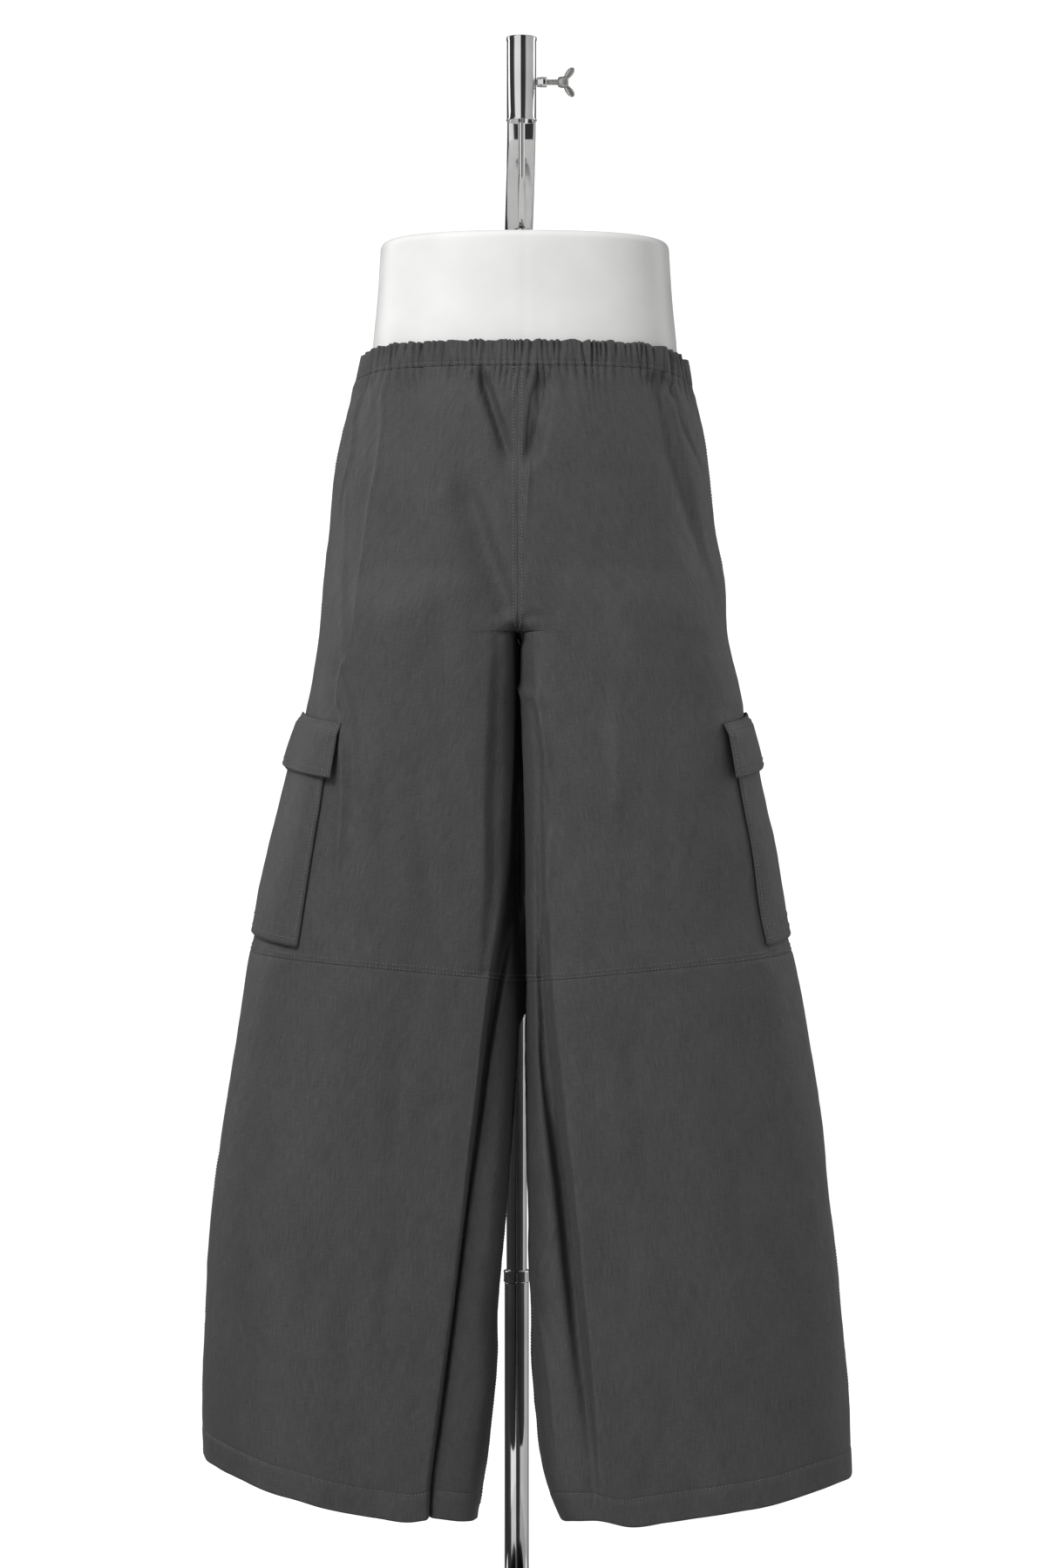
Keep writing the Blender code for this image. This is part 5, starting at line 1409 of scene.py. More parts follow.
# ------------------------------------------------------------------ the elastic waistband
@dataclass
class Waistband:
    """The gathered casing with its elastic, one strip turned into a ring."""

    shape: TrouserShape
    fabric: bpy.types.Material
    body: str = "form"
    height: float = 0.0212
    wall: float = 0.0030
    crown: float = 0.0012
    puff: float = 0.0006
    pattern_shift: float = 1.2
    columns: int = 190
    rows: int = 15

    def ring(self) -> tuple[np.ndarray, ...]:
        """Lay out the waist line.

        Returns:
            Points of the band's foot and top, level normals, heading and length run round the waist.
        """
        foot, head = [], []
        quarters = (
            (Leg.RIGHT, Side.FRONT, True),
            (Leg.LEFT, Side.FRONT, False),
            (Leg.LEFT, Side.BACK, True),
            (Leg.RIGHT, Side.BACK, False),
        )
        for leg, side, from_side in quarters:
            share = np.linspace(0.0, 1.0, self.columns, endpoint=False)
            share = 1.0 - share if from_side else share
            z = self.shape.waist_height(leg, side, share) + self.shape.band_seat
            foot.append(self.shape.place(leg, side, share, z)[0])
            head.append(self.shape.place(leg, side, share, z + self.height)[0])
        foot, head = np.concatenate(foot), np.concatenate(head)
        along = np.roll(foot, -2, axis=0) - np.roll(foot, 2, axis=0)
        normals = unit(np.stack([along[:, 1], -along[:, 0], 0 * along[:, 0]], axis=1))
        centre = foot.mean(axis=0)
        flip = np.sign(((foot - centre) * normals).sum(axis=1).mean())
        heading = self.shape.heading(foot[:, 0], foot[:, 1])
        run = np.concatenate([[0.0], np.cumsum(np.linalg.norm(np.diff(foot, axis=0), axis=1))])
        return foot, head, normals * flip, heading, run

    def build(self) -> tuple[bpy.types.Object, Line]:
        """Make the band.

        Returns:
            The band, and the points and normals of its line of stitches.
        """
        foot, head, normals, heading, run = self.ring()
        wave = self.shape.gather(heading)
        slanted = self.shape.gather(waves(heading, heading, ((0.045, 7, 1.0), (0.03, 19, 0.0))))
        fine = np.cos(1.7 * self.shape.gathers * heading + 2.6 * np.sin(3 * heading + 0.5))
        sharp = 2.1 * slanted + 0.5 * self.shape.gather_height * fine
        wavy = np.cos(0.37 * self.shape.gathers * heading + 2.0 * np.sin(5 * heading))
        wavy = wavy + 0.8 * np.sin(23 * heading)
        loop, uvs = [], []
        t = np.linspace(0.0, 1.0, self.rows)
        crown = np.linspace(0.0, math.pi, 7)[1:-1]
        section = [(self.face(u), u * self.height, 1.0) for u in t]
        for a in crown:
            off = self.wall * (0.5 * math.cos(a) - 0.5)
            section.append((off, self.height + self.crown * math.sin(a), 1.0))
        section += [(-self.wall, u * self.height, 0.6) for u in t[::-2]]
        for off, up, share in section:
            part = min(up / self.height, 1.0)
            lift = up - part * self.height + smooth(part) * (0.00045 * wavy + 0.45 * slanted)
            crest = share * ((1 - part) * wave + part * sharp)
            line = foot + part * (head - foot)
            loop.append(line + normals * (off + crest)[:, None] + np.array([0.0, 0.0, 1.0]) * lift[:, None])
            uvs.append(np.stack([run, np.full_like(run, self.pattern_shift + up - off)], axis=1))
        count = len(foot)
        last = (len(section) - 1) * count
        i = np.arange(count)
        j = (i + 1) % count
        closing = np.stack([last + i, last + j, j, i], axis=1)
        faces = np.concatenate([grid_faces(len(section), count, loop=True), closing])
        obj = make_mesh("elastic_waistband", np.concatenate(loop), faces, np.concatenate(uvs))
        if self.inside_out(obj):
            obj.data.flip_normals()
        obj.data.materials.append(self.fabric)
        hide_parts("waistband")
        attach(obj, self.body)
        row = self.rows // 7
        line = loop[row] + normals * 0.0001
        return obj, (np.concatenate([line, line[:1]]), np.concatenate([normals, normals[:1]]))

    def face(self, u: float) -> float:
        """Section of the outer face: pinched at its stitching, puffed above it."""
        pinch = 0.0004 * math.exp(-(((u - 0.14) / 0.06) ** 2))
        return self.puff * math.sin(math.pi * min(max((u - 0.05) / 0.95, 0.0), 1.0)) - pinch

    @staticmethod
    def inside_out(obj: bpy.types.Object) -> bool:
        """Whether a closed mesh's faces look inward."""
        bm = bmesh.new()
        bm.from_mesh(obj.data)
        volume = bm.calc_volume(signed=True)
        bm.free()
        return volume < 0


# ------------------------------------------------------------------ the cargo pockets
@dataclass
class CargoPocket:
    """A flat cargo pocket over the side seam, with its flap."""

    leg: Leg
    shape: TrouserShape
    fabric: bpy.types.Material
    body: str = "form"
    # top and foot at the middle, drop towards the edges
    bag: tuple[float, float, float] = (0.806, 0.629, 0.012)
    flap: tuple[float, float, float] = (0.824, 0.776, 0.013)
    # first and last position round each leg
    bag_ends: dict[Leg, tuple[float, float]] = field(
        default_factory=lambda: {Leg.LEFT: (0.356, 0.590), Leg.RIGHT: (0.388, 0.612)}
    )
    flap_ends: dict[Leg, tuple[float, float]] = field(
        default_factory=lambda: {Leg.LEFT: (0.342, 0.606), Leg.RIGHT: (0.373, 0.627)}
    )
    wall: float = 0.0013
    pattern_shift: float = 0.37
    # how far the bag's under face stands off: at its edges, added just inside them, in the middle
    bag_off: tuple[float, float, float] = (0.0008, 0.0010, 0.0016)
    # the flap's: at its edges, added at its foot, more in the middle, and clear of the bag
    flap_off: tuple[float, float, float, float] = (0.0010, 0.0020, 0.0016, 0.0022)
    columns: int = 76
    rows: int = 54
    flap_rows: int = 30

    def surface(
        self, part: tuple[float, float, float], ends: tuple[float, float], rows: int
    ) -> tuple[np.ndarray, ...]:
        """Lay a part of the pocket on the leg.

        Args:
            part: Top, foot and drop.
            ends: First and last position.
            rows: Points down.

        Returns:
            Points, normals, position across from -1 to 1 and down from 0 to 1.
        """
        top, foot, drop = part
        across = np.linspace(-1.0, 1.0, self.columns + 1)
        down = np.linspace(0.0, 1.0, rows + 1)
        s, v = np.meshgrid(across, down)
        turn = 0.5 * (ends[0] + ends[1]) + 0.5 * s * (ends[1] - ends[0])
        z = top + (foot - top) * v - drop * (np.hypot(s, 0.12) - 0.12)
        share = self.shape.measured_share(self.leg, Side.FRONT, np.clip(2 * turn, 0, 1), z)
        front, _ = self.shape.place(self.leg, Side.FRONT, share, z)
        back, _ = self.shape.place(self.leg, Side.BACK, np.clip(2 * (1 - turn), 0, 1), z)
        p = np.where((turn <= 0.5)[..., None], front, back)
        n = unit(np.cross(np.gradient(p, axis=1), np.gradient(p, axis=0)))
        if n[n.shape[0] // 2, n.shape[1] // 2, 0] * self.leg.sign < 0:
            n = -n
        return p, n, s, v

    def piece(self, name: str, p: np.ndarray, n: np.ndarray, off: np.ndarray) -> bpy.types.Object:
        """Make a walled piece that stands off the leg.

        Args:
            name: Name of the piece.
            p: Points on the leg.
            n: Normals there.
            off: How far the under face stands off.

        Returns:
            The piece.
        """
        under = p + n * off[..., None]
        over = under + n * self.wall
        step = np.linalg.norm(np.diff(p, axis=1), axis=-1)
        run = np.concatenate([np.zeros((len(p), 1)), np.cumsum(step, axis=1)], axis=1)
        uv = np.stack([run + self.pattern_shift, p[..., 2]], axis=-1)
        obj = walled_mesh(name, over, under, n, uv)
        obj.data.materials.append(self.fabric)
        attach(obj, self.body)
        return obj

    def build(self) -> list[Line]:
        """Make the bag and the flap.

        Returns:
            Lines of stitches: points and normals of each.
        """
        lines = []
        name = self.leg.value
        p, n, s, v = self.surface(self.bag, self.bag_ends[self.leg], self.rows)
        rim = smooth((1 - np.abs(s)) * 5) * smooth(v * 6) * smooth((1 - v) * 5)
        ripple = Swell(21, (0.030, 0.030, 0.055)).at(p) * 0.0008
        ripple = ripple + Swell(22, (0.010, 0.010, 0.016)).at(p) * 0.0004
        at_edge, inside, middle = self.bag_off
        off = at_edge + inside * smooth((1 - np.abs(s)) * 40) + middle * rim + ripple * rim
        bag = self.piece(f"cloth_pocket_bag_{name}", p, n, off)
        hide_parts(f"pocket_bag_{name}")
        over = p + n * (off + self.wall)[..., None]
        rows, columns = s.shape
        for row in (rows - 3, rows - 6):
            lines.append((over[row, 1:-1], n[row, 1:-1]))
        for column in (1, columns - 2):
            lines.append((over[3:-2, column], n[3:-2, column]))
        p, n, s, v = self.surface(self.flap, self.flap_ends[self.leg], self.flap_rows)
        ripple = Swell(23, (0.022, 0.022, 0.040)).at(p) * 0.0008
        at_edge, at_foot, middle, clear = self.flap_off
        lift = smooth(v) * (at_foot + middle * (1 - np.abs(s))) + (self.wall + clear) * smooth(v * 4.0)
        off = at_edge + lift + ripple * smooth(v * 2)
        flap = self.piece(f"cloth_pocket_flap_{name}", p, n, off)
        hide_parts(f"pocket_flap_{name}")
        over = p + n * (off + self.wall)[..., None]
        rows, columns = s.shape
        for gap in (1, 4):
            for row in (gap, rows - 1 - gap):
                lines.append((over[row, 2:-2], n[row, 2:-2]))
            for column in (1 + gap // 2, columns - 2 - gap // 2):
                lines.append((over[2:-2, column], n[2:-2, column]))
        return lines


# ------------------------------------------------------------------ stitching
@dataclass
class Stitching:
    """Rows of lockstitch, laid along lines on the cloth."""

    thread: bpy.types.Material
    body: str = "form"
    pitch: float = 0.0029
    length: float = 0.0021
    width: float = 0.00080
    height: float = 0.00060
    wander: float = 0.10
    seed: int = 5

    def tree(self) -> bpy.types.GeometryNodeTree:
        """Build the node tree that turns a line into stitches.

        Returns:
            The tree, with its sizes as named inputs.
        """
        tree = bpy.data.node_groups.new("row_of_stitches", "GeometryNodeTree")
        face = tree.interface
        face.new_socket("Line", in_out="INPUT", socket_type="NodeSocketGeometry")
        for name in ("Pitch", "Length", "Width", "Height", "Wander"):
            face.new_socket(name, in_out="INPUT", socket_type="NodeSocketFloat")
        face.new_socket("Seed", in_out="INPUT", socket_type="NodeSocketInt")
        face.new_socket("Thread", in_out="INPUT", socket_type="NodeSocketMaterial")
        face.new_socket("Stitches", in_out="OUTPUT", socket_type="NodeSocketGeometry")
        new, link = tree.nodes.new, tree.links.new
        enter, leave = new("NodeGroupInput"), new("NodeGroupOutput")
        curve = new("GeometryNodeMeshToCurve")
        link(enter.outputs["Line"], curve.inputs["Mesh"])
        spaced = new("GeometryNodeResampleCurve")
        spaced.mode = "LENGTH"
        link(curve.outputs["Curve"], spaced.inputs["Curve"])
        link(enter.outputs["Pitch"], spaced.inputs["Length"])
        bead = new("GeometryNodeMeshUVSphere")
        bead.inputs["Segments"].default_value = 5
        bead.inputs["Rings"].default_value = 3
        bead.inputs["Radius"].default_value = 0.5
        size = new("ShaderNodeCombineXYZ")
        for name, axis in (("Length", "X"), ("Width", "Y"), ("Height", "Z")):
            link(enter.outputs[name], size.inputs[axis])
        shaped = new("GeometryNodeTransform")
        link(bead.outputs["Mesh"], shaped.inputs["Geometry"])
        link(size.outputs["Vector"], shaped.inputs["Scale"])
        out_of_cloth = new("GeometryNodeInputNamedAttribute")
        out_of_cloth.data_type = "FLOAT_VECTOR"
        out_of_cloth.inputs["Name"].default_value = "out_of_cloth"
        along = new("GeometryNodeInputTangent")
        turn = new("FunctionNodeAxesToRotation")
        turn.primary_axis, turn.secondary_axis = "Z", "X"
        link(out_of_cloth.outputs["Attribute"], turn.inputs["Primary Axis"])
        link(along.outputs["Tangent"], turn.inputs["Secondary Axis"])
        place = new("GeometryNodeInstanceOnPoints")
        link(spaced.outputs["Curve"], place.inputs["Points"])
        link(shaped.outputs["Geometry"], place.inputs["Instance"])
        link(turn.outputs["Rotation"], place.inputs["Rotation"])
        chance = new("FunctionNodeRandomValue")
        chance.data_type = "FLOAT"
        less = new("ShaderNodeMath")
        less.operation = "SUBTRACT"
        less.inputs[0].default_value = 1.0
        link(enter.outputs["Wander"], less.inputs[1])
        link(less.outputs["Value"], chance.inputs[2])
        chance.inputs[3].default_value = 1.0
        link(enter.outputs["Seed"], chance.inputs["Seed"])
        link(chance.outputs[1], place.inputs["Scale"])
        plain = new("GeometryNodeRealizeInstances")
        link(place.outputs["Instances"], plain.inputs["Geometry"])
        dressed = new("GeometryNodeSetMaterial")
        link(plain.outputs["Geometry"], dressed.inputs["Geometry"])
        link(enter.outputs["Thread"], dressed.inputs["Material"])
        link(dressed.outputs["Geometry"], leave.inputs["Stitches"])
        return tree

    def build(self, tree: bpy.types.GeometryNodeTree, row: Row, lines: Sequence[Line]) -> bpy.types.Object:
        """Sew one kind of row.

        Args:
            tree: The node tree of tree().
            row: What the row holds together.
            lines: Points and normals of each line.

        Returns:
            The stitches as a plain mesh.
        """
        name = f"stitches_{row.value}"
        points = np.concatenate([p for p, _ in lines])
        normals = np.concatenate([n for _, n in lines])
        edges, first = [], 0
        for p, _ in lines:
            edges += [(first + i, first + i + 1) for i in range(len(p) - 1)]
            first += len(p)
        mesh = bpy.data.meshes.new(name)
        mesh.from_pydata((points + normals * 0.5 * self.height).tolist(), edges, [])
        upright = mesh.attributes.new("out_of_cloth", "FLOAT_VECTOR", "POINT")
        upright.data.foreach_set("vector", normals.astype(np.float32).ravel())
        obj = linked(name, mesh)
        mod = obj.modifiers.new("stitches", "NODES")
        mod.node_group = tree
        values = {
            "Pitch": self.pitch,
            "Length": self.length,
            "Width": self.width,
            "Height": self.height,
            "Wander": self.wander,
            "Seed": self.seed,
            "Thread": self.thread,
        }
        for item in tree.interface.items_tree:
            if item.in_out == "INPUT" and item.name in values:
                mod[item.identifier] = values[item.name]
        bake_modifiers(obj)
        obj.data.shade_smooth()
        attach(obj, self.body)
        return obj


# ------------------------------------------------------------------ finishes
def node_group(
    name: str, inputs: dict[str, tuple[str, object]], outputs: dict[str, str]
) -> bpy.types.ShaderNodeTree:
    """Start a shader node group.

    Args:
        name: Name of the group.
        inputs: Socket type and default of each input.
        outputs: Socket type of each output.

    Returns:
        The group.
    """
    tree = bpy.data.node_groups.new(name, "ShaderNodeTree")
    for key, (kind, value) in inputs.items():
        socket = tree.interface.new_socket(key, in_out="INPUT", socket_type=kind)
        if value is not None:
            socket.default_value = value
    for key, kind in outputs.items():
        tree.interface.new_socket(key, in_out="OUTPUT", socket_type=kind)
    return tree


class SharedEffects:
    """Effects that more than one finish uses, each built once as a node group."""

    def __init__(self) -> None:
        """Build the groups."""
        self.weave = self.build_weave()
        self.handling = self.build_handling()

    def build_weave(self) -> bpy.types.ShaderNodeTree:
        """A slubby weave with small crumples.

        Returns:
            The group: height of the surface and light and dark threads.
        """
        tree = node_group(
            "slub_and_crumple",
            {
                "Vector": ("NodeSocketVector", None),
                "Threads": ("NodeSocketFloat", 1100.0),
                "Slub": ("NodeSocketFloat", 0.5),
                "Crumple Size": ("NodeSocketFloat", 95.0),
                "Crumple": ("NodeSocketFloat", 0.5),
            },
            {"Height": "NodeSocketFloat", "Shade": "NodeSocketFloat"},
        )
        new, link = tree.nodes.new, tree.links.new
        enter, leave = new("NodeGroupInput"), new("NodeGroupOutput")

        def noise(
            stretch: tuple[float, float, float], scale: float, detail: float, socket: str | None = None
        ) -> bpy.types.NodeSocket:
            """Noise on a stretched surface; socket names the group's input that sets its scale."""
            mapping = new("ShaderNodeMapping")
            mapping.inputs["Scale"].default_value = stretch
            link(enter.outputs["Vector"], mapping.inputs["Vector"])
            node = new("ShaderNodeTexNoise")
            node.inputs["Scale"].default_value = scale
            node.inputs["Detail"].default_value = detail
            node.inputs["Roughness"].default_value = 0.6
            link(mapping.outputs["Vector"], node.inputs["Vector"])
            if socket:
                link(enter.outputs[socket], node.inputs["Scale"])
            return node.outputs["Fac"]

        def math_node(kind: str, a: object, b: object) -> bpy.types.NodeSocket:
            """One operation on two values, each a number or a socket."""
            node = new("ShaderNodeMath")
            node.operation = kind
            for i, value in enumerate((a, b)):
                if isinstance(value, (int, float)):
                    node.inputs[i].default_value = value
                else:
                    link(value, node.inputs[i])
            return node.outputs[0]

        def blend(a: object, part_a: float, b: object, part_b: float) -> bpy.types.NodeSocket:
            """Two values added in given parts."""
            return math_node("ADD", math_node("MULTIPLY", a, part_a), math_node("MULTIPLY", b, part_b))

        warp = noise((1.0, 0.055, 1.0), 1100.0, 2.0, "Threads")
        weft = noise((0.10, 1.0, 1.0), 1100.0, 2.0, "Threads")
        crumple = noise((1.0, 0.75, 1.0), 95.0, 3.0, "Crumple Size")
        broad = noise((1.0, 0.6, 1.0), 26.0, 2.0)
        threads = blend(warp, 0.62, weft, 0.38)
        ridged = math_node("ABSOLUTE", math_node("SUBTRACT", crumple, 0.5), 0.0)
        fine = math_node("MULTIPLY", threads, enter.outputs["Slub"])
        coarse = math_node("MULTIPLY", ridged, enter.outputs["Crumple"])
        height = math_node("ADD", blend(fine, 0.22, coarse, -1.6), math_node("MULTIPLY", broad, 0.6))
        link(height, leave.inputs["Height"])
        link(blend(threads, 0.8, broad, 0.2), leave.inputs["Shade"])
        return tree

    def build_handling(self) -> bpy.types.ShaderNodeTree:
        """Faint smears and rubs of a surface that is handled.

        Returns:
            The group: a value round 0.5 that varies over the surface.
        """
        tree = node_group(
            "handling",
            {"Vector": ("NodeSocketVector", None), "Size": ("NodeSocketFloat", 30.0)},
            {"Smear": "NodeSocketFloat", "Fine": "NodeSocketFloat"},
        )
        new, link = tree.nodes.new, tree.links.new
        enter, leave = new("NodeGroupInput"), new("NodeGroupOutput")
        broad = new("ShaderNodeTexNoise")
        broad.inputs["Detail"].default_value = 4.0
        link(enter.outputs["Vector"], broad.inputs["Vector"])
        link(enter.outputs["Size"], broad.inputs["Scale"])
        fine = new("ShaderNodeTexNoise")
        fine.inputs["Scale"].default_value = 420.0
        fine.inputs["Detail"].default_value = 2.0
        link(enter.outputs["Vector"], fine.inputs["Vector"])
        link(broad.outputs["Fac"], leave.inputs["Smear"])
        link(fine.outputs["Fac"], leave.inputs["Fine"])
        return tree


class Surface:
    """A material whose colour, roughness and bump follow one of the shared groups."""

    def __init__(
        self, name: str, pattern: bpy.types.ShaderNodeTree, coordinate: str, sizes: dict[str, float]
    ) -> None:
        """Start the material.

        Args:
            name: Name of the material.
            pattern: The shared group.
            coordinate: What the group follows: UV or Object.
            sizes: Values of the group's inputs.
        """
        self.material = bpy.data.materials.new(name)
        self.material.use_nodes = True
        tree = self.material.node_tree
        self.new, self.link = tree.nodes.new, tree.links.new
        self.bsdf = tree.nodes["Principled BSDF"]
        self.pattern = self.new("ShaderNodeGroup")
        self.pattern.node_tree = pattern
        for key, value in sizes.items():
            self.pattern.inputs[key].default_value = value
        where = self.new("ShaderNodeTexCoord")
        self.link(where.outputs[coordinate], self.pattern.inputs["Vector"])

    def colours(self, output: str, stops: Sequence[tuple[float, tuple[float, float, float]]]) -> None:
        """Let the pattern choose between two colours.

        Args:
            output: The group's output that chooses.
            stops: Value and colour of the dark and of the light end.
        """
        ramp = self.new("ShaderNodeValToRGB")
        for stop, (at, colour) in zip(ramp.color_ramp.elements, stops):
            stop.position = at
            stop.color = (*colour, 1.0)
        self.link(self.pattern.outputs[output], ramp.inputs["Fac"])
        self.link(ramp.outputs["Color"], self.bsdf.inputs["Base Color"])

    def roughness(self, output: str, low: float, high: float) -> None:
        """Let the pattern change the roughness.

        Args:
            output: The group's output that changes it.
            low: Roughness where the output is 0.3.
            high: Roughness where the output is 0.7.
        """
        rough = self.new("ShaderNodeMapRange")
        sizes = {"From Min": 0.3, "From Max": 0.7, "To Min": low, "To Max": high}
        for key, value in sizes.items():
            rough.inputs[key].default_value = value
        self.link(self.pattern.outputs[output], rough.inputs["Value"])
        self.link(rough.outputs["Result"], self.bsdf.inputs["Roughness"])

    def bump(self, output: str, strength: float, distance: float) -> None:
        """Let the pattern raise the surface.

        Args:
            output: The group's output that is the height.
            strength: Strength of the bump.
            distance: Height of the bump in metres.
        """
        bump = self.new("ShaderNodeBump")
        bump.inputs["Strength"].default_value = strength
        bump.inputs["Distance"].default_value = distance
        self.link(self.pattern.outputs[output], bump.inputs["Height"])
        self.link(bump.outputs["Normal"], self.bsdf.inputs["Normal"])

    def finish(self, values: dict[str, float]) -> bpy.types.Material:
        """Set plain values of the surface, and hand over the material."""
        for key, value in values.items():
            self.bsdf.inputs[key].default_value = value
        return self.material


@dataclass(frozen=True)
class NylonFinish:
    """Crinkled nylon, matt with a faint sheen."""

    name: str = "crinkled_nylon"
    dark: tuple[float, float, float] = (0.050, 0.050, 0.052)
    light: tuple[float, float, float] = (0.082, 0.082, 0.083)
    roughness: tuple[float, float] = (0.52, 0.70)
    threads: float = 1100.0
    slub: float = 0.8
    crumple_size: float = 95.0
    crumple: float = 0.7
    bump: float = 0.0011

    def material(self, effects: SharedEffects) -> bpy.types.Material:
        """Make the material.

        Args:
            effects: The shared node groups.

        Returns:
            The material.
        """
        sizes = {
            "Threads": self.threads,
            "Slub": self.slub,
            "Crumple Size": self.crumple_size,
            "Crumple": self.crumple,
        }
        surface = Surface(self.name, effects.weave, "UV", sizes)
        surface.colours("Shade", ((0.36, self.dark), (0.66, self.light)))
        surface.roughness("Shade", self.roughness[1], self.roughness[0])
        surface.bump("Height", 0.9, self.bump)
        return surface.finish({"Specular IOR Level": 0.5, "Sheen Weight": 0.06, "Sheen Roughness": 0.45})


@dataclass(frozen=True)
class ThreadFinish:
    """Polyester thread, a little lighter than the cloth."""

    name: str = "sewing_thread"
    dark: tuple[float, float, float] = (0.150, 0.150, 0.151)
    light: tuple[float, float, float] = (0.240, 0.240, 0.240)

    def material(self, effects: SharedEffects) -> bpy.types.Material:
        """Make the material.

        Args:
            effects: The shared node groups.

        Returns:
            The material.
        """
        surface = Surface(self.name, effects.handling, "Object", {"Size": 60.0})
        surface.colours("Fine", ((0.35, self.dark), (0.65, self.light)))
        return surface.finish({"Roughness": 0.5})


@dataclass(frozen=True)
class HardFinish:
    """A smooth hard finish: bright chrome, dull zinc or satin plastic."""

    name: str
    dark: tuple[float, float, float]
    light: tuple[float, float, float]
    roughness: tuple[float, float]
    metallic: float
    grain: float = 0.0
    size: float = 30.0

    def material(self, effects: SharedEffects) -> bpy.types.Material:
        """Make the material.

        Args:
            effects: The shared node groups.

        Returns:
            The material.
        """
        surface = Surface(self.name, effects.handling, "Object", {"Size": self.size})
        surface.colours("Smear", ((0.3, self.dark), (0.7, self.light)))
        surface.roughness("Smear", *self.roughness)
        if self.grain:
            surface.bump("Fine", 0.5, self.grain)
        return surface.finish({"Metallic": self.metallic})


CHROME = HardFinish("bright_chrome", (0.66, 0.66, 0.66), (0.78, 0.78, 0.78), (0.05, 0.12), 1.0)
ZINC = HardFinish("dull_zinc", (0.42, 0.42, 0.41), (0.62, 0.62, 0.60), (0.34, 0.50), 1.0, 0.0003, 120.0)
SATIN_WHITE = HardFinish(
    "satin_white_plastic", (0.80, 0.80, 0.79), (0.86, 0.86, 0.85), (0.30, 0.42), 0.0, 0.00006, 22.0
)


# ------------------------------------------------------------------ the hip form
@dataclass
class HipForm:
    """The smooth limbless hip form that fills the waist."""

    finish: bpy.types.Material
    body: str = "form"
    centre_x: float = 0.0063
    square: float = 2.3
    steps: int = 160
    top: float = 1.243
    top_round: float = 0.007
    foot_end: float = 0.96
    seam_depth: float = 0.00025
    # in radians round the form
    seam_width: float = 0.012
    # height, half width, depth of front and of back
    rows: tuple[tuple[float, float, float, float], ...] = (
        (0.926, 0.045, 0.022, 0.024),
        (0.930, 0.090, 0.046, 0.048),
        (0.940, 0.122, 0.066, 0.070),
        (0.958, 0.143, 0.084, 0.092),
        (0.985, 0.154, 0.097, 0.106),
        (1.015, 0.156, 0.103, 0.109),
        (1.050, 0.152, 0.1035, 0.107),
        (1.085, 0.145, 0.0995, 0.101),
        (1.115, 0.1375, 0.0948, 0.0948),
        (1.150, 0.1358, 0.0948, 0.0948),
        (1.190, 0.1320, 0.0925, 0.0925),
        (1.236, 0.1290, 0.0910, 0.0910),
    )

    def build(self) -> bpy.types.Object:
        """Make the form.

        Returns:
            The form.
        """
        table = np.array(self.rows)
        foot, shoulder = table[0, 0], table[-1, 0]
        z = np.linspace(foot, self.foot_end, 14)[:-1]
        z = np.concatenate([z, np.linspace(self.foot_end, shoulder, 54)])
        columns = [table_curve(table[:, 0], table[:, k], z) for k in (1, 2, 3)]
        turn = np.linspace(0.0, 0.5 * math.pi, 8)[1:]
        z = np.concatenate([z, shoulder + (self.top - shoulder) * np.sin(turn)])
        pull = self.top_round * (1 - np.cos(turn))
        columns = [np.concatenate([c, c[-1] - pull]) for c in columns]
        crown = np.linspace(0.0, 1.0, 10)[1:-1]
        z = np.concatenate([z, np.full(len(crown), self.top)])
        columns = [np.concatenate([c, c[-1] * (1 - crown)]) for c in columns]
        angle = np.linspace(0.0, 2.0 * math.pi, self.steps, endpoint=False)
        cos, sin = np.cos(angle)[None, :], np.sin(angle)[None, :]
        half, front, back = (c[:, None] for c in columns)
        b = np.where(sin > 0, front, back)
        r = ((np.abs(cos) / half) ** self.square + (np.abs(sin) / b) ** self.square) ** (-1 / self.square)
        front_back = (0.5 * math.pi, 1.5 * math.pi)
        seam = sum(np.exp(-(((angle - middle) / self.seam_width) ** 2)) for middle in front_back)
        r = r - self.seam_depth * seam[None, :] * (half > 0.1)
        points = np.stack([self.centre_x + r * cos, -r * sin, np.repeat(z[:, None], self.steps, 1)], axis=-1)
        obj = closed_loft("hip_form_shell", points, points[0].mean(axis=0), points[-1].mean(axis=0))
        obj.data.materials.append(self.finish)
        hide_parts("hip_form")
        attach(obj, self.body)
        return obj


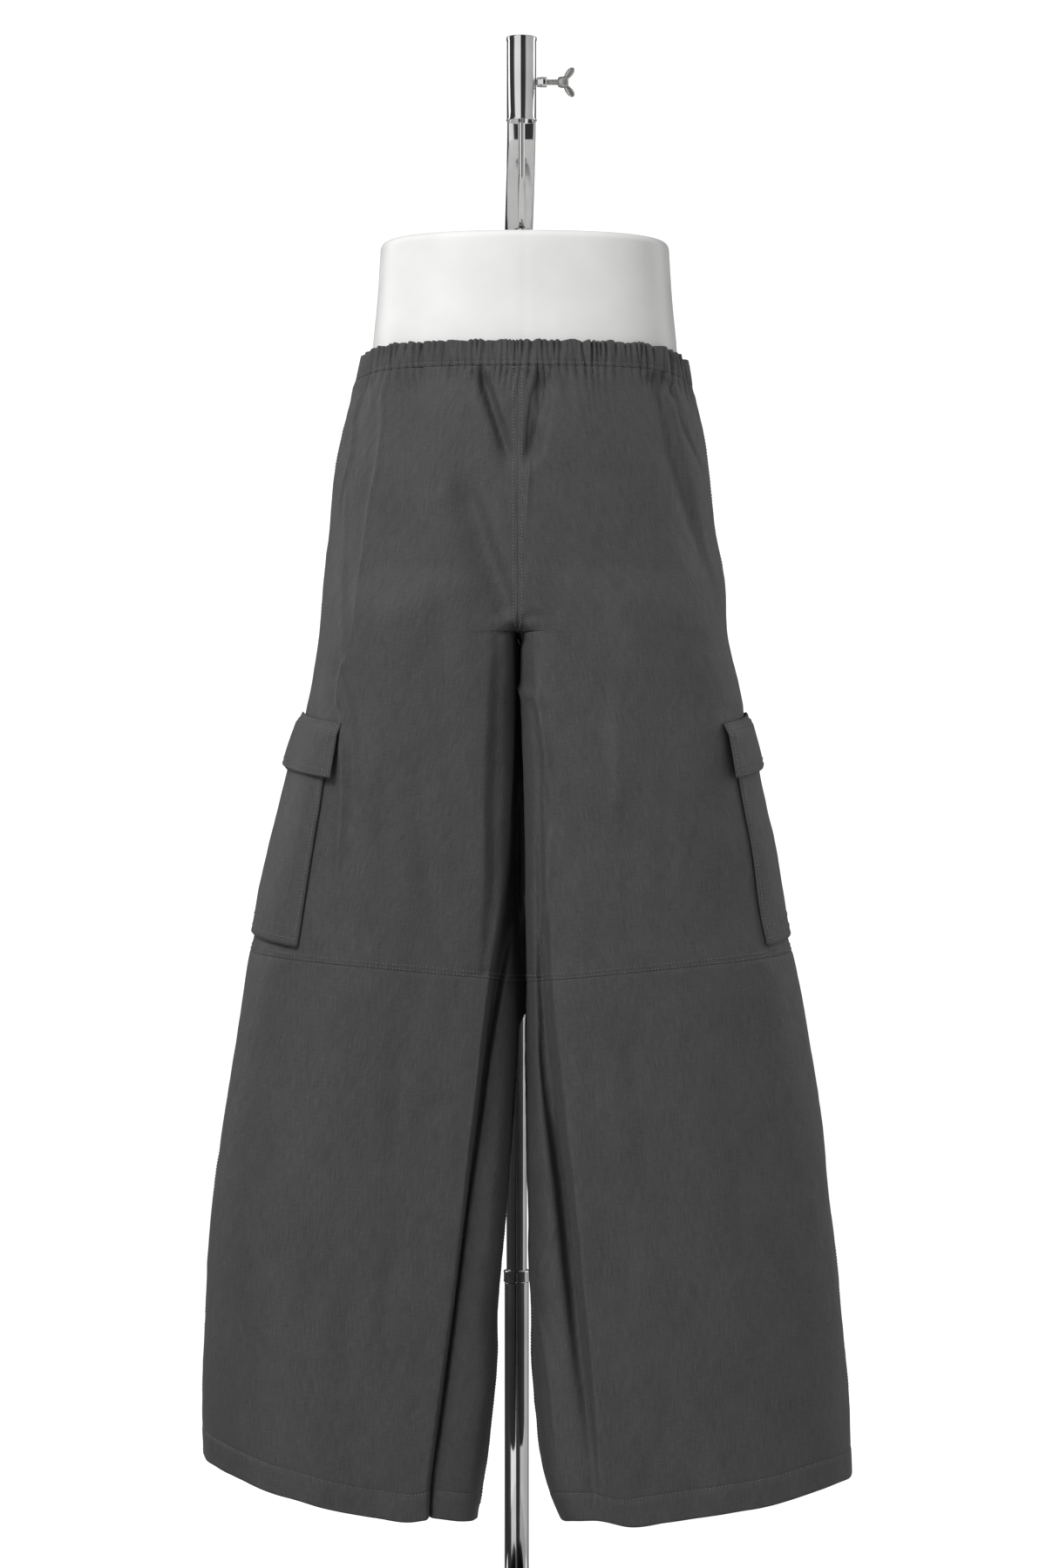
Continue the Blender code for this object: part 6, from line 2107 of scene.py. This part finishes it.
# ------------------------------------------------------------------ the stand
@dataclass
class Stand:
    """Base plate, telescopic pole, neck, sleeve, hanger rod and wing screw."""

    chrome: bpy.types.Material
    zinc: bpy.types.Material
    pole: tuple[float, float] = (-0.0012, 0.150)
    lower_radius: float = 0.0114
    upper_radius: float = 0.0096
    upper_bore: float = 0.0082
    upper_reach: tuple[float, float] = (0.100, 1.190)
    collar_radius: float = 0.01245
    collar_reach: tuple[float, float] = (0.2937, 0.3052)
    base_radius: float = 0.180
    base_height: float = 0.008
    socket_radius: float = 0.0200
    socket_top: float = 0.0215
    sleeve_x: float = 0.0034
    sleeve_radius: float = 0.0135
    sleeve_bore: float = 0.0123
    sleeve_reach: tuple[float, float] = (1.353, 1.428)
    rod_radius: float = 0.0031
    rod_top: float = 1.412
    # the neck: where it has bent forward, where it is pressed flat and its top; half its sizes there
    neck_heights: tuple[float, float, float] = (1.362, 1.335, 1.418)
    neck_halves: tuple[float, float] = (0.0022, 0.0129)
    screw_height: float = 1.388
    form_top: float = 1.243
    seat: float = 0.0003
    tube_edge: float = 0.0004
    thread_pitch: float = 0.0010
    # radius under the thread, its height, how much the tip is thinner and over what length
    thread: tuple[float, float, float, float] = (0.0022, 0.0005, 0.0004, 0.0012)
    # half width, half thickness and half length of a wing
    wing_halves: tuple[float, float, float] = (0.0034, 0.0019, 0.0070)
    # middle of a wing from the sleeve's axis and from the screw's, and its lean in degrees
    wing_place: tuple[float, float] = (0.0423, 0.0074)
    wing_lean: float = 38.0

    def dress(self, obj: bpy.types.Object, node: str, slot: str, body: str) -> bpy.types.Object:
        """Give a piece the finish that its slot names, and its body.

        Args:
            obj: The piece.
            node: The solid that it stands for.
            slot: The record's finish.
            body: The body that it rides on.

        Returns:
            The piece.
        """
        obj.data.materials.clear()
        obj.data.materials.append(self.zinc if slot == "zinc" else self.chrome)
        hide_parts(node)
        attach(obj, body)
        LOG.info("%s: %d faces", obj.name, len(obj.data.polygons))
        return obj

    def tube(self, name: str, radius: float, bore: float, low: float, high: float) -> bpy.types.Object:
        """Make one tube of the pole, with rounded ends.

        Args:
            name: Name of the piece.
            radius: Outer radius.
            bore: Inner radius.
            low: Height of its foot.
            high: Height of its top.

        Returns:
            The tube.
        """
        edge = self.tube_edge
        corner = 0.3 * edge
        profile = [
            (bore, low + edge),
            (bore + edge, low),
            (radius - edge, low),
            (radius - corner, low + corner),
            (radius, low + edge),
            (radius, high - edge),
            (radius - corner, high - corner),
            (radius - edge, high),
            (bore + edge, high),
            (bore, high - edge),
        ]
        return turned_piece(name, profile, self.pole)

    def build(self) -> None:
        """Make every piece of the stand."""
        self.build_base()
        self.build_pole()
        self.build_neck()
        self.build_sleeve()
        self.build_screw()

    def build_base(self) -> None:
        """Make the base plate and the socket that the pole stands in."""
        r, h = self.base_radius, self.base_height
        edge = [(r - 0.0016, 0.0), (r - 0.0004, 0.0004), (r, 0.0016), (r, h - 0.0030)]
        edge += [(r - 0.0006, h - 0.0012), (r - 0.0018, h - 0.0003), (r - 0.0034, h)]
        plate = turned_piece("base_disc", [(0.0, 0.0), *edge, (0.0, h)], (0.0, 0.0), 192, closed=False)
        self.dress(plate, "base_plate", "chrome", "stand")
        foot = h + self.seat
        bore = self.lower_radius + self.seat
        r, top = self.socket_radius, self.socket_top
        profile = [(bore, foot), (r - 0.0003, foot), (r, foot + 0.0004), (r, foot + 0.0013)]
        profile += [(0.0190, foot + 0.0040), (0.0172, foot + 0.0085), (0.0158, foot + 0.0115)]
        profile += [(0.0142, 0.0212), (0.0136, top), (bore, top)]
        self.dress(turned_piece("pole_socket", profile, self.pole), "base_socket", "chrome", "stand")

    def build_pole(self) -> None:
        """Make the lower tube, the collar and the upper tube."""
        low = self.base_height + self.seat
        r, bore = self.collar_radius, self.upper_radius + self.seat
        z0, z1 = self.collar_reach
        lower = self.tube("pole_lower", self.lower_radius, bore, low, z0 - self.seat)
        self.dress(lower, "lower_tube", "chrome", "stand")
        profile = [(bore, z0), (r - 0.0009, z0), (r - 0.0002, z0 + 0.0005), (r, z0 + 0.0014)]
        profile += [(r - 0.0003, z0 + 0.0026), (r - 0.0003, z1 - 0.0030), (r, z1 - 0.0019)]
        profile += [(r - 0.0002, z1 - 0.0008), (r - 0.0010, z1 - 0.0001), (bore, z1)]
        self.dress(turned_piece("pole_collar", profile, self.pole), "collar", "chrome", "collar")
        upper = self.tube("pole_upper", self.upper_radius, self.upper_bore, *self.upper_reach)
        self.dress(upper, "upper_tube", "chrome", "form")

    def build_neck(self) -> None:
        """Make the top of the pole, bent forward and pressed flat behind the sleeve."""
        rows, steps = 60, 72
        z0, (bent, pressed, z2) = self.upper_reach[1] + self.seat, self.neck_heights
        half_thin, half_wide = self.neck_halves
        y_flat = self.sleeve_radius + self.seat + half_thin
        z = np.linspace(z0, z2, rows)
        s = smooth((z - z0) / (bent - z0))
        x = self.pole[0] + (self.sleeve_x - self.pole[0]) * s
        y = self.pole[1] + (y_flat - self.pole[1]) * s
        slope = np.stack([0 * z, np.gradient(y), np.gradient(z)], axis=1)
        slope[0] = slope[-1] = (0.0, 0.0, 1.0)
        slope = unit(slope)
        across = np.array([1.0, 0.0, 0.0])
        facing = np.cross(slope, across)
        flat = smooth((z - z0) / (pressed - z0))
        spread = smooth((z - z0) / (self.form_top - z0))
        half_w = self.upper_radius + (half_wide - self.upper_radius) * spread
        half_t = self.upper_radius + (half_thin - self.upper_radius) * flat
        n = (2.0 + 1.6 * flat)[:, None]
        angle = np.linspace(0.0, 2.0 * math.pi, steps, endpoint=False)[None, :]
        cos, sin = np.cos(angle), np.sin(angle)
        r = (np.abs(cos / half_w[:, None]) ** n + np.abs(sin / half_t[:, None]) ** n) ** (-1 / n)
        centre = np.stack([x, y, z], axis=1)
        points = centre[:, None, :] + across * (r * cos)[..., None]
        points = points + facing[:, None, :] * (r * sin)[..., None]
        obj = closed_loft("pole_neck", points, centre[0], centre[-1])
        self.dress(obj, "neck", "chrome", "form")

    def build_sleeve(self) -> None:
        """Make the top sleeve with its rolled rims, the screw boss, the rod and its foot."""
        z0, z1 = self.sleeve_reach
        r, bore = self.sleeve_radius, self.sleeve_bore
        rim = r + 0.0002
        profile = [(bore, z0 + 0.0003), (bore + 0.0003, z0), (rim - 0.0003, z0), (rim, z0 + 0.0004)]
        profile += [(rim, z0 + 0.0011), (r - 0.0003, z0 + 0.0019), (r - 0.0003, z1 - 0.0034)]
        profile += [(rim - 0.0001, z1 - 0.0027), (rim, z1 - 0.0018), (rim, z1 - 0.0005)]
        profile += [(rim - 0.0004, z1), (bore + 0.0003, z1), (bore, z1 - 0.0003)]
        sleeve = turned_piece("clamp_sleeve", profile, (self.sleeve_x, 0.0), 128)
        self.dress(sleeve, "top_sleeve", "chrome", "form")
        boss = turned_piece("screw_nut", self.nut_profile(), (0.0, 0.0), 48)
        self.lay_along_x(boss)
        self.dress(boss, "screw_boss", "chrome", "form")
        low = self.form_top + self.seat
        r, top, edge = self.rod_radius, self.rod_top, 0.0008
        profile = [(0.0, low), (r, low), (r, top - edge), (r - edge, top), (0.0, top)]
        rod = turned_piece("form_rod", profile, (self.sleeve_x, 0.0), 64, closed=False)
        self.dress(rod, "hanger_rod", "chrome", "form")
        bore = r + self.seat
        r, top = 0.0080, 1.2565
        profile = [(bore, low), (r, low), (r, top - 0.0015), (0.0076, 1.2560), (0.0068, top), (bore, top)]
        foot = turned_piece("rod_flange", profile, (self.sleeve_x, 0.0), 72)
        self.dress(foot, "rod_foot", "chrome", "form")

    def nut_profile(self) -> list[tuple[float, float]]:
        """Profile of the nut that is welded to the sleeve: radius and distance from its axis."""
        start = self.sleeve_radius
        return [
            (0.0029, start),
            (0.0040, start),
            (0.0044, start + 0.0018),
            (0.0044, start + 0.0034),
            (0.0046, start + 0.0036),
            (0.0046, 0.0222),
            (0.0042, 0.0226),
            (0.0029, 0.0226),
        ]

    def lay_along_x(self, obj: bpy.types.Object) -> None:
        """Turn an upright piece to point along +X from the sleeve's axis at the screw."""
        turn = Matrix.Rotation(math.pi / 2, 4, "Y")
        obj.data.transform(Matrix.Translation((self.sleeve_x, 0.0, self.screw_height)) @ turn)
        obj.data.update()

    def build_screw(self) -> None:
        """Make the wing screw: a threaded shank, a hub and two swept wings."""
        tip = self.rod_radius + self.seat
        shank = self.threaded_shank(tip, 0.0332)
        profile = [(0.0, 0.0325), (0.0036, 0.0325), (0.0044, 0.0333), (0.0051, 0.0360)]
        profile += [(0.0052, 0.0392), (0.0049, 0.0410), (0.0040, 0.0420), (0.0, 0.0422)]
        hub = turned_piece("hub", profile, (0.0, 0.0), 48, closed=False)
        wings = [self.wing(sign) for sign in (1.0, -1.0)]
        for piece in (shank, hub):
            self.lay_along_x(piece)
        screw = joined("clamp_wing_screw", [shank, hub, *wings])
        self.dress(screw, "wing_screw", "zinc", "wing_screw")

    def threaded_shank(self, low: float, high: float) -> bpy.types.Object:
        """Make the shank, with a helical thread.

        Args:
            low: Distance of its tip from the sleeve's axis.
            high: Distance of its other end.

        Returns:
            The shank, upright.
        """
        steps, rows = 24, 180
        z = np.linspace(low, high, rows)[:, None]
        angle = np.linspace(0.0, 2.0 * math.pi, steps, endpoint=False)[None, :]
        wave = np.abs(((z / self.thread_pitch - angle / (2 * math.pi)) % 1.0) * 2.0 - 1.0)
        core, height, taper, taper_run = self.thread
        fade = smooth((z - low) / taper_run)
        r = core + height * wave * fade - taper * (1 - fade)
        rings = np.stack([r * np.cos(angle), r * np.sin(angle), np.broadcast_to(z, r.shape)], axis=-1)
        return closed_loft("shank", rings, (0.0, 0.0, low), (0.0, 0.0, high))

    def wing(self, sign: float) -> bpy.types.Object:
        """Make one wing, thick at the hub, thin and round at its end.

        Args:
            sign: 1 for the upper wing, -1 for the lower one.

        Returns:
            The wing, in place.
        """
        bm = bmesh.new()
        bmesh.ops.create_uvsphere(bm, u_segments=28, v_segments=20, radius=1.0)
        half_width, half_thick, half_long = self.wing_halves
        for v in bm.verts:
            x, y, z = v.co
            along = 0.5 * (z + 1.0)
            width = half_width * (0.72 + 0.40 * along)
            thick = half_thick * (1.15 - 0.45 * along)
            v.co = Vector((x * width, y * thick, z * half_long))
        turn = Matrix.Rotation(math.radians(self.wing_lean if sign > 0 else 180.0 - self.wing_lean), 4, "Y")
        out, up = self.wing_place
        place = Matrix.Translation((self.sleeve_x + out, 0.0, self.screw_height + sign * up))
        bm.transform(place @ turn)
        return from_bmesh("wing", bm)


# ------------------------------------------------------------------ the studio
@dataclass
class Studio:
    """Camera, pale floor and plain soft light."""

    eye: tuple[float, float, float] = (0.0047, -3.2, 0.760)
    image: tuple[int, int] = (1200, 1799)
    metres_per_pixel: float = 0.00078
    sensor: float = 36.0
    # strengths of the surround, of light on the cloth and as the camera sees it
    strengths: tuple[float, float] = (0.34, 1.15)
    # bands that glossy pieces show: place round the object from 0 to 1, and grey
    bands: tuple[tuple[float, float], ...] = (
        (0.0, 0.04), (0.015, 0.05), (0.022, 0.95), (0.15, 1.0), (0.17, 0.06), (0.30, 0.03), (0.48, 0.10),
        (0.50, 0.30), (0.60, 0.12), (0.66, 0.45), (0.75, 0.50), (0.88, 0.62), (0.905, 0.55), (0.915, 0.05),
        (1.0, 0.04),
    )
    # name, place, point that it faces, width and height in metres, watts
    lights: tuple[tuple, ...] = (
        ("key", (-1.5, -1.9, 2.7), (0.0, 0.0, 0.85), (1.0, 1.0), 66.0),
        ("fill", (1.6, -2.2, 1.7), (0.0, 0.0, 0.65), (1.4, 1.8), 7.0),
        ("rim_left", (-1.9, 0.9, 1.5), (0.0, 0.0, 0.8), (0.8, 1.8), 7.0),
        ("rim_right", (1.9, 0.9, 1.5), (0.0, 0.0, 0.8), (0.8, 1.8), 5.0),
    )

    def build(self) -> None:
        """Make the camera, the floor and the lights."""
        self.build_camera()
        self.build_floor()
        self.build_world()
        for row in self.lights:
            self.light(*row)

    def build_camera(self) -> None:
        """Make a level camera at the picture's viewing angle."""
        data = bpy.data.cameras.new("camera")
        data.sensor_width = self.sensor
        data.lens = self.sensor * -self.eye[1] / (self.image[1] * self.metres_per_pixel)
        data.clip_end = 60.0
        camera = linked("camera", data)
        camera.location = self.eye
        camera.rotation_euler = (math.radians(90.0), 0.0, 0.0)
        bpy.context.scene.camera = camera

    def build_floor(self) -> None:
        """Make the pale floor."""
        points = np.array([[-9.0, -9.0, 0.0], [9.0, -9.0, 0.0], [9.0, 9.0, 0.0], [-9.0, 9.0, 0.0]])
        floor = make_mesh("floor", points, np.array([[0, 1, 2, 3]]), soft=False)
        mat = bpy.data.materials.new("pale_floor")
        mat.use_nodes = True
        tree = mat.node_tree
        bsdf = tree.nodes["Principled BSDF"]
        where = tree.nodes.new("ShaderNodeTexCoord")
        noise = tree.nodes.new("ShaderNodeTexNoise")
        noise.inputs["Scale"].default_value = 3.0
        tree.links.new(where.outputs["Object"], noise.inputs["Vector"])
        ramp = tree.nodes.new("ShaderNodeValToRGB")
        ramp.color_ramp.elements[0].color = (0.49, 0.49, 0.49, 1.0)
        ramp.color_ramp.elements[1].color = (0.51, 0.51, 0.51, 1.0)
        tree.links.new(noise.outputs["Fac"], ramp.inputs["Fac"])
        tree.links.new(ramp.outputs["Color"], bsdf.inputs["Base Color"])
        bsdf.inputs["Roughness"].default_value = 0.9
        bsdf.inputs["Emission Color"].default_value = (1.0, 1.0, 1.0, 1.0)
        bsdf.inputs["Emission Strength"].default_value = 0.85
        floor.data.materials.append(mat)
        floor.visible_diffuse = floor.visible_glossy = False

    def build_world(self) -> None:
        """Make a white surround, with darker bands that only glossy pieces show."""
        world = bpy.data.worlds.new("studio")
        bpy.context.scene.world = world
        world.use_nodes = True
        tree = world.node_tree
        new, link = tree.nodes.new, tree.links.new
        tree.nodes.clear()
        leave = new("ShaderNodeOutputWorld")
        rays = new("ShaderNodeLightPath")
        soft, bands, seen = (new("ShaderNodeBackground") for _ in range(3))
        soft.inputs["Strength"].default_value, seen.inputs["Strength"].default_value = self.strengths
        where = new("ShaderNodeTexCoord")
        apart = new("ShaderNodeSeparateXYZ")
        link(where.outputs["Generated"], apart.inputs["Vector"])
        turn = new("ShaderNodeMath")
        turn.operation = "ARCTAN2"
        link(apart.outputs["X"], turn.inputs[0])
        link(apart.outputs["Y"], turn.inputs[1])
        share = new("ShaderNodeMapRange")
        share.inputs["From Min"].default_value = -math.pi
        share.inputs["From Max"].default_value = math.pi
        link(turn.outputs["Value"], share.inputs["Value"])
        ramp = new("ShaderNodeValToRGB")
        first, *between, last = self.bands
        for stop, (at, value) in zip(ramp.color_ramp.elements, (first, last)):
            stop.position = at
            stop.color = (value, value, value, 1.0)
        for at, value in between:
            stop = ramp.color_ramp.elements.new(at)
            stop.color = (value, value, value, 1.0)
        link(share.outputs["Result"], ramp.inputs["Fac"])
        link(ramp.outputs["Color"], bands.inputs["Color"])
        inner, outer = new("ShaderNodeMixShader"), new("ShaderNodeMixShader")
        link(rays.outputs["Is Glossy Ray"], inner.inputs[0])
        link(soft.outputs[0], inner.inputs[1])
        link(bands.outputs[0], inner.inputs[2])
        link(rays.outputs["Is Camera Ray"], outer.inputs[0])
        link(inner.outputs[0], outer.inputs[1])
        link(seen.outputs[0], outer.inputs[2])
        for node in (soft, seen):
            node.inputs["Color"].default_value = (1.0, 1.0, 1.0, 1.0)
        link(outer.outputs[0], leave.inputs["Surface"])

    def light(
        self,
        name: str,
        place: tuple[float, float, float],
        aim: tuple[float, float, float],
        size: tuple[float, float],
        power: float,
    ) -> None:
        """Make a soft rectangular light.

        Args:
            name: Name of the light.
            place: Where it stands.
            aim: What it faces.
            size: Width and height.
            power: Watts.
        """
        data = bpy.data.lights.new(name, "AREA")
        data.shape = "RECTANGLE"
        data.size, data.size_y = size
        data.energy = power
        obj = linked(name, data)
        obj.location = place
        obj.rotation_euler = (Vector(aim) - Vector(place)).to_track_quat("-Z", "Y").to_euler()
        obj.visible_glossy = name.startswith("rim")


# ------------------------------------------------------------------ everything in order
def stitch_lines(trousers: Trousers) -> dict[Row, list[Line]]:
    """Lay out the rows of stitching on the panels.

    Args:
        trousers: The panels.

    Returns:
        Lines of points and normals for each kind of row.
    """
    beside_seam, above_knee = 0.0025, (0.0014, 0.0052)
    order = (Row.CENTRE, Row.KNEE, Row.HEM, Row.SIDE, Row.INSEAM)
    lines: dict[Row, list[Line]] = {row: [] for row in order}
    shape = trousers.shape
    for (leg, side), grid in trousers.grids.items():
        crotch = int(np.abs(grid.points[:, 0, 2] - shape.z_crotch).argmin())
        last = len(grid.points) - 1
        lines[Row.CENTRE].append(trousers.line_down(leg, side, trousers.seam_rows, 2, crotch - 1))
        lines[Row.INSEAM].append(trousers.line_down(leg, side, beside_seam, crotch + 4, last))
        lines[Row.SIDE].append(trousers.line_down(leg, side, beside_seam, 3, last, from_side=True))
        for up in above_knee:
            lines[Row.KNEE].append(trousers.line_across(leg, side, lambda s: shape.knee_height(side, s) + up))
        lines[Row.HEM].append(
            trousers.line_across(leg, side, lambda s: shape.hem_height(leg, side, s) + trousers.hem_turn)
        )
    return lines


def main() -> None:
    """Build the trousers, the form, the stand and the studio, in that order."""
    logging.basicConfig(level=logging.INFO, format="%(message)s")
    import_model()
    bpy.context.scene.view_settings.view_transform = "Standard"
    effects = SharedEffects()
    fabric = NylonFinish().material(effects)
    thread = ThreadFinish().material(effects)
    shape = TrouserShape()
    Studio().build()

    trousers = Trousers(shape, fabric)
    trousers.build()
    band, waist_line = Waistband(shape, fabric).build()
    LOG.info("%s built", band.name)
    pocket_lines = []
    for leg in Leg:
        pocket_lines += CargoPocket(leg, shape, fabric).build()
        LOG.info("pocket %s built", leg.value)

    stitching = Stitching(thread)
    tree = stitching.tree()
    lines = stitch_lines(trousers)
    lines[Row.WAIST] = [waist_line]
    lines[Row.POCKET] = pocket_lines
    for row, rows in lines.items():
        piece = stitching.build(tree, row, rows)
        LOG.info("%s: %d lines", piece.name, len(rows))

    HipForm(SATIN_WHITE.material(effects)).build()
    Stand(CHROME.material(effects), ZINC.material(effects)).build()


if __name__ == "__main__":
    main()
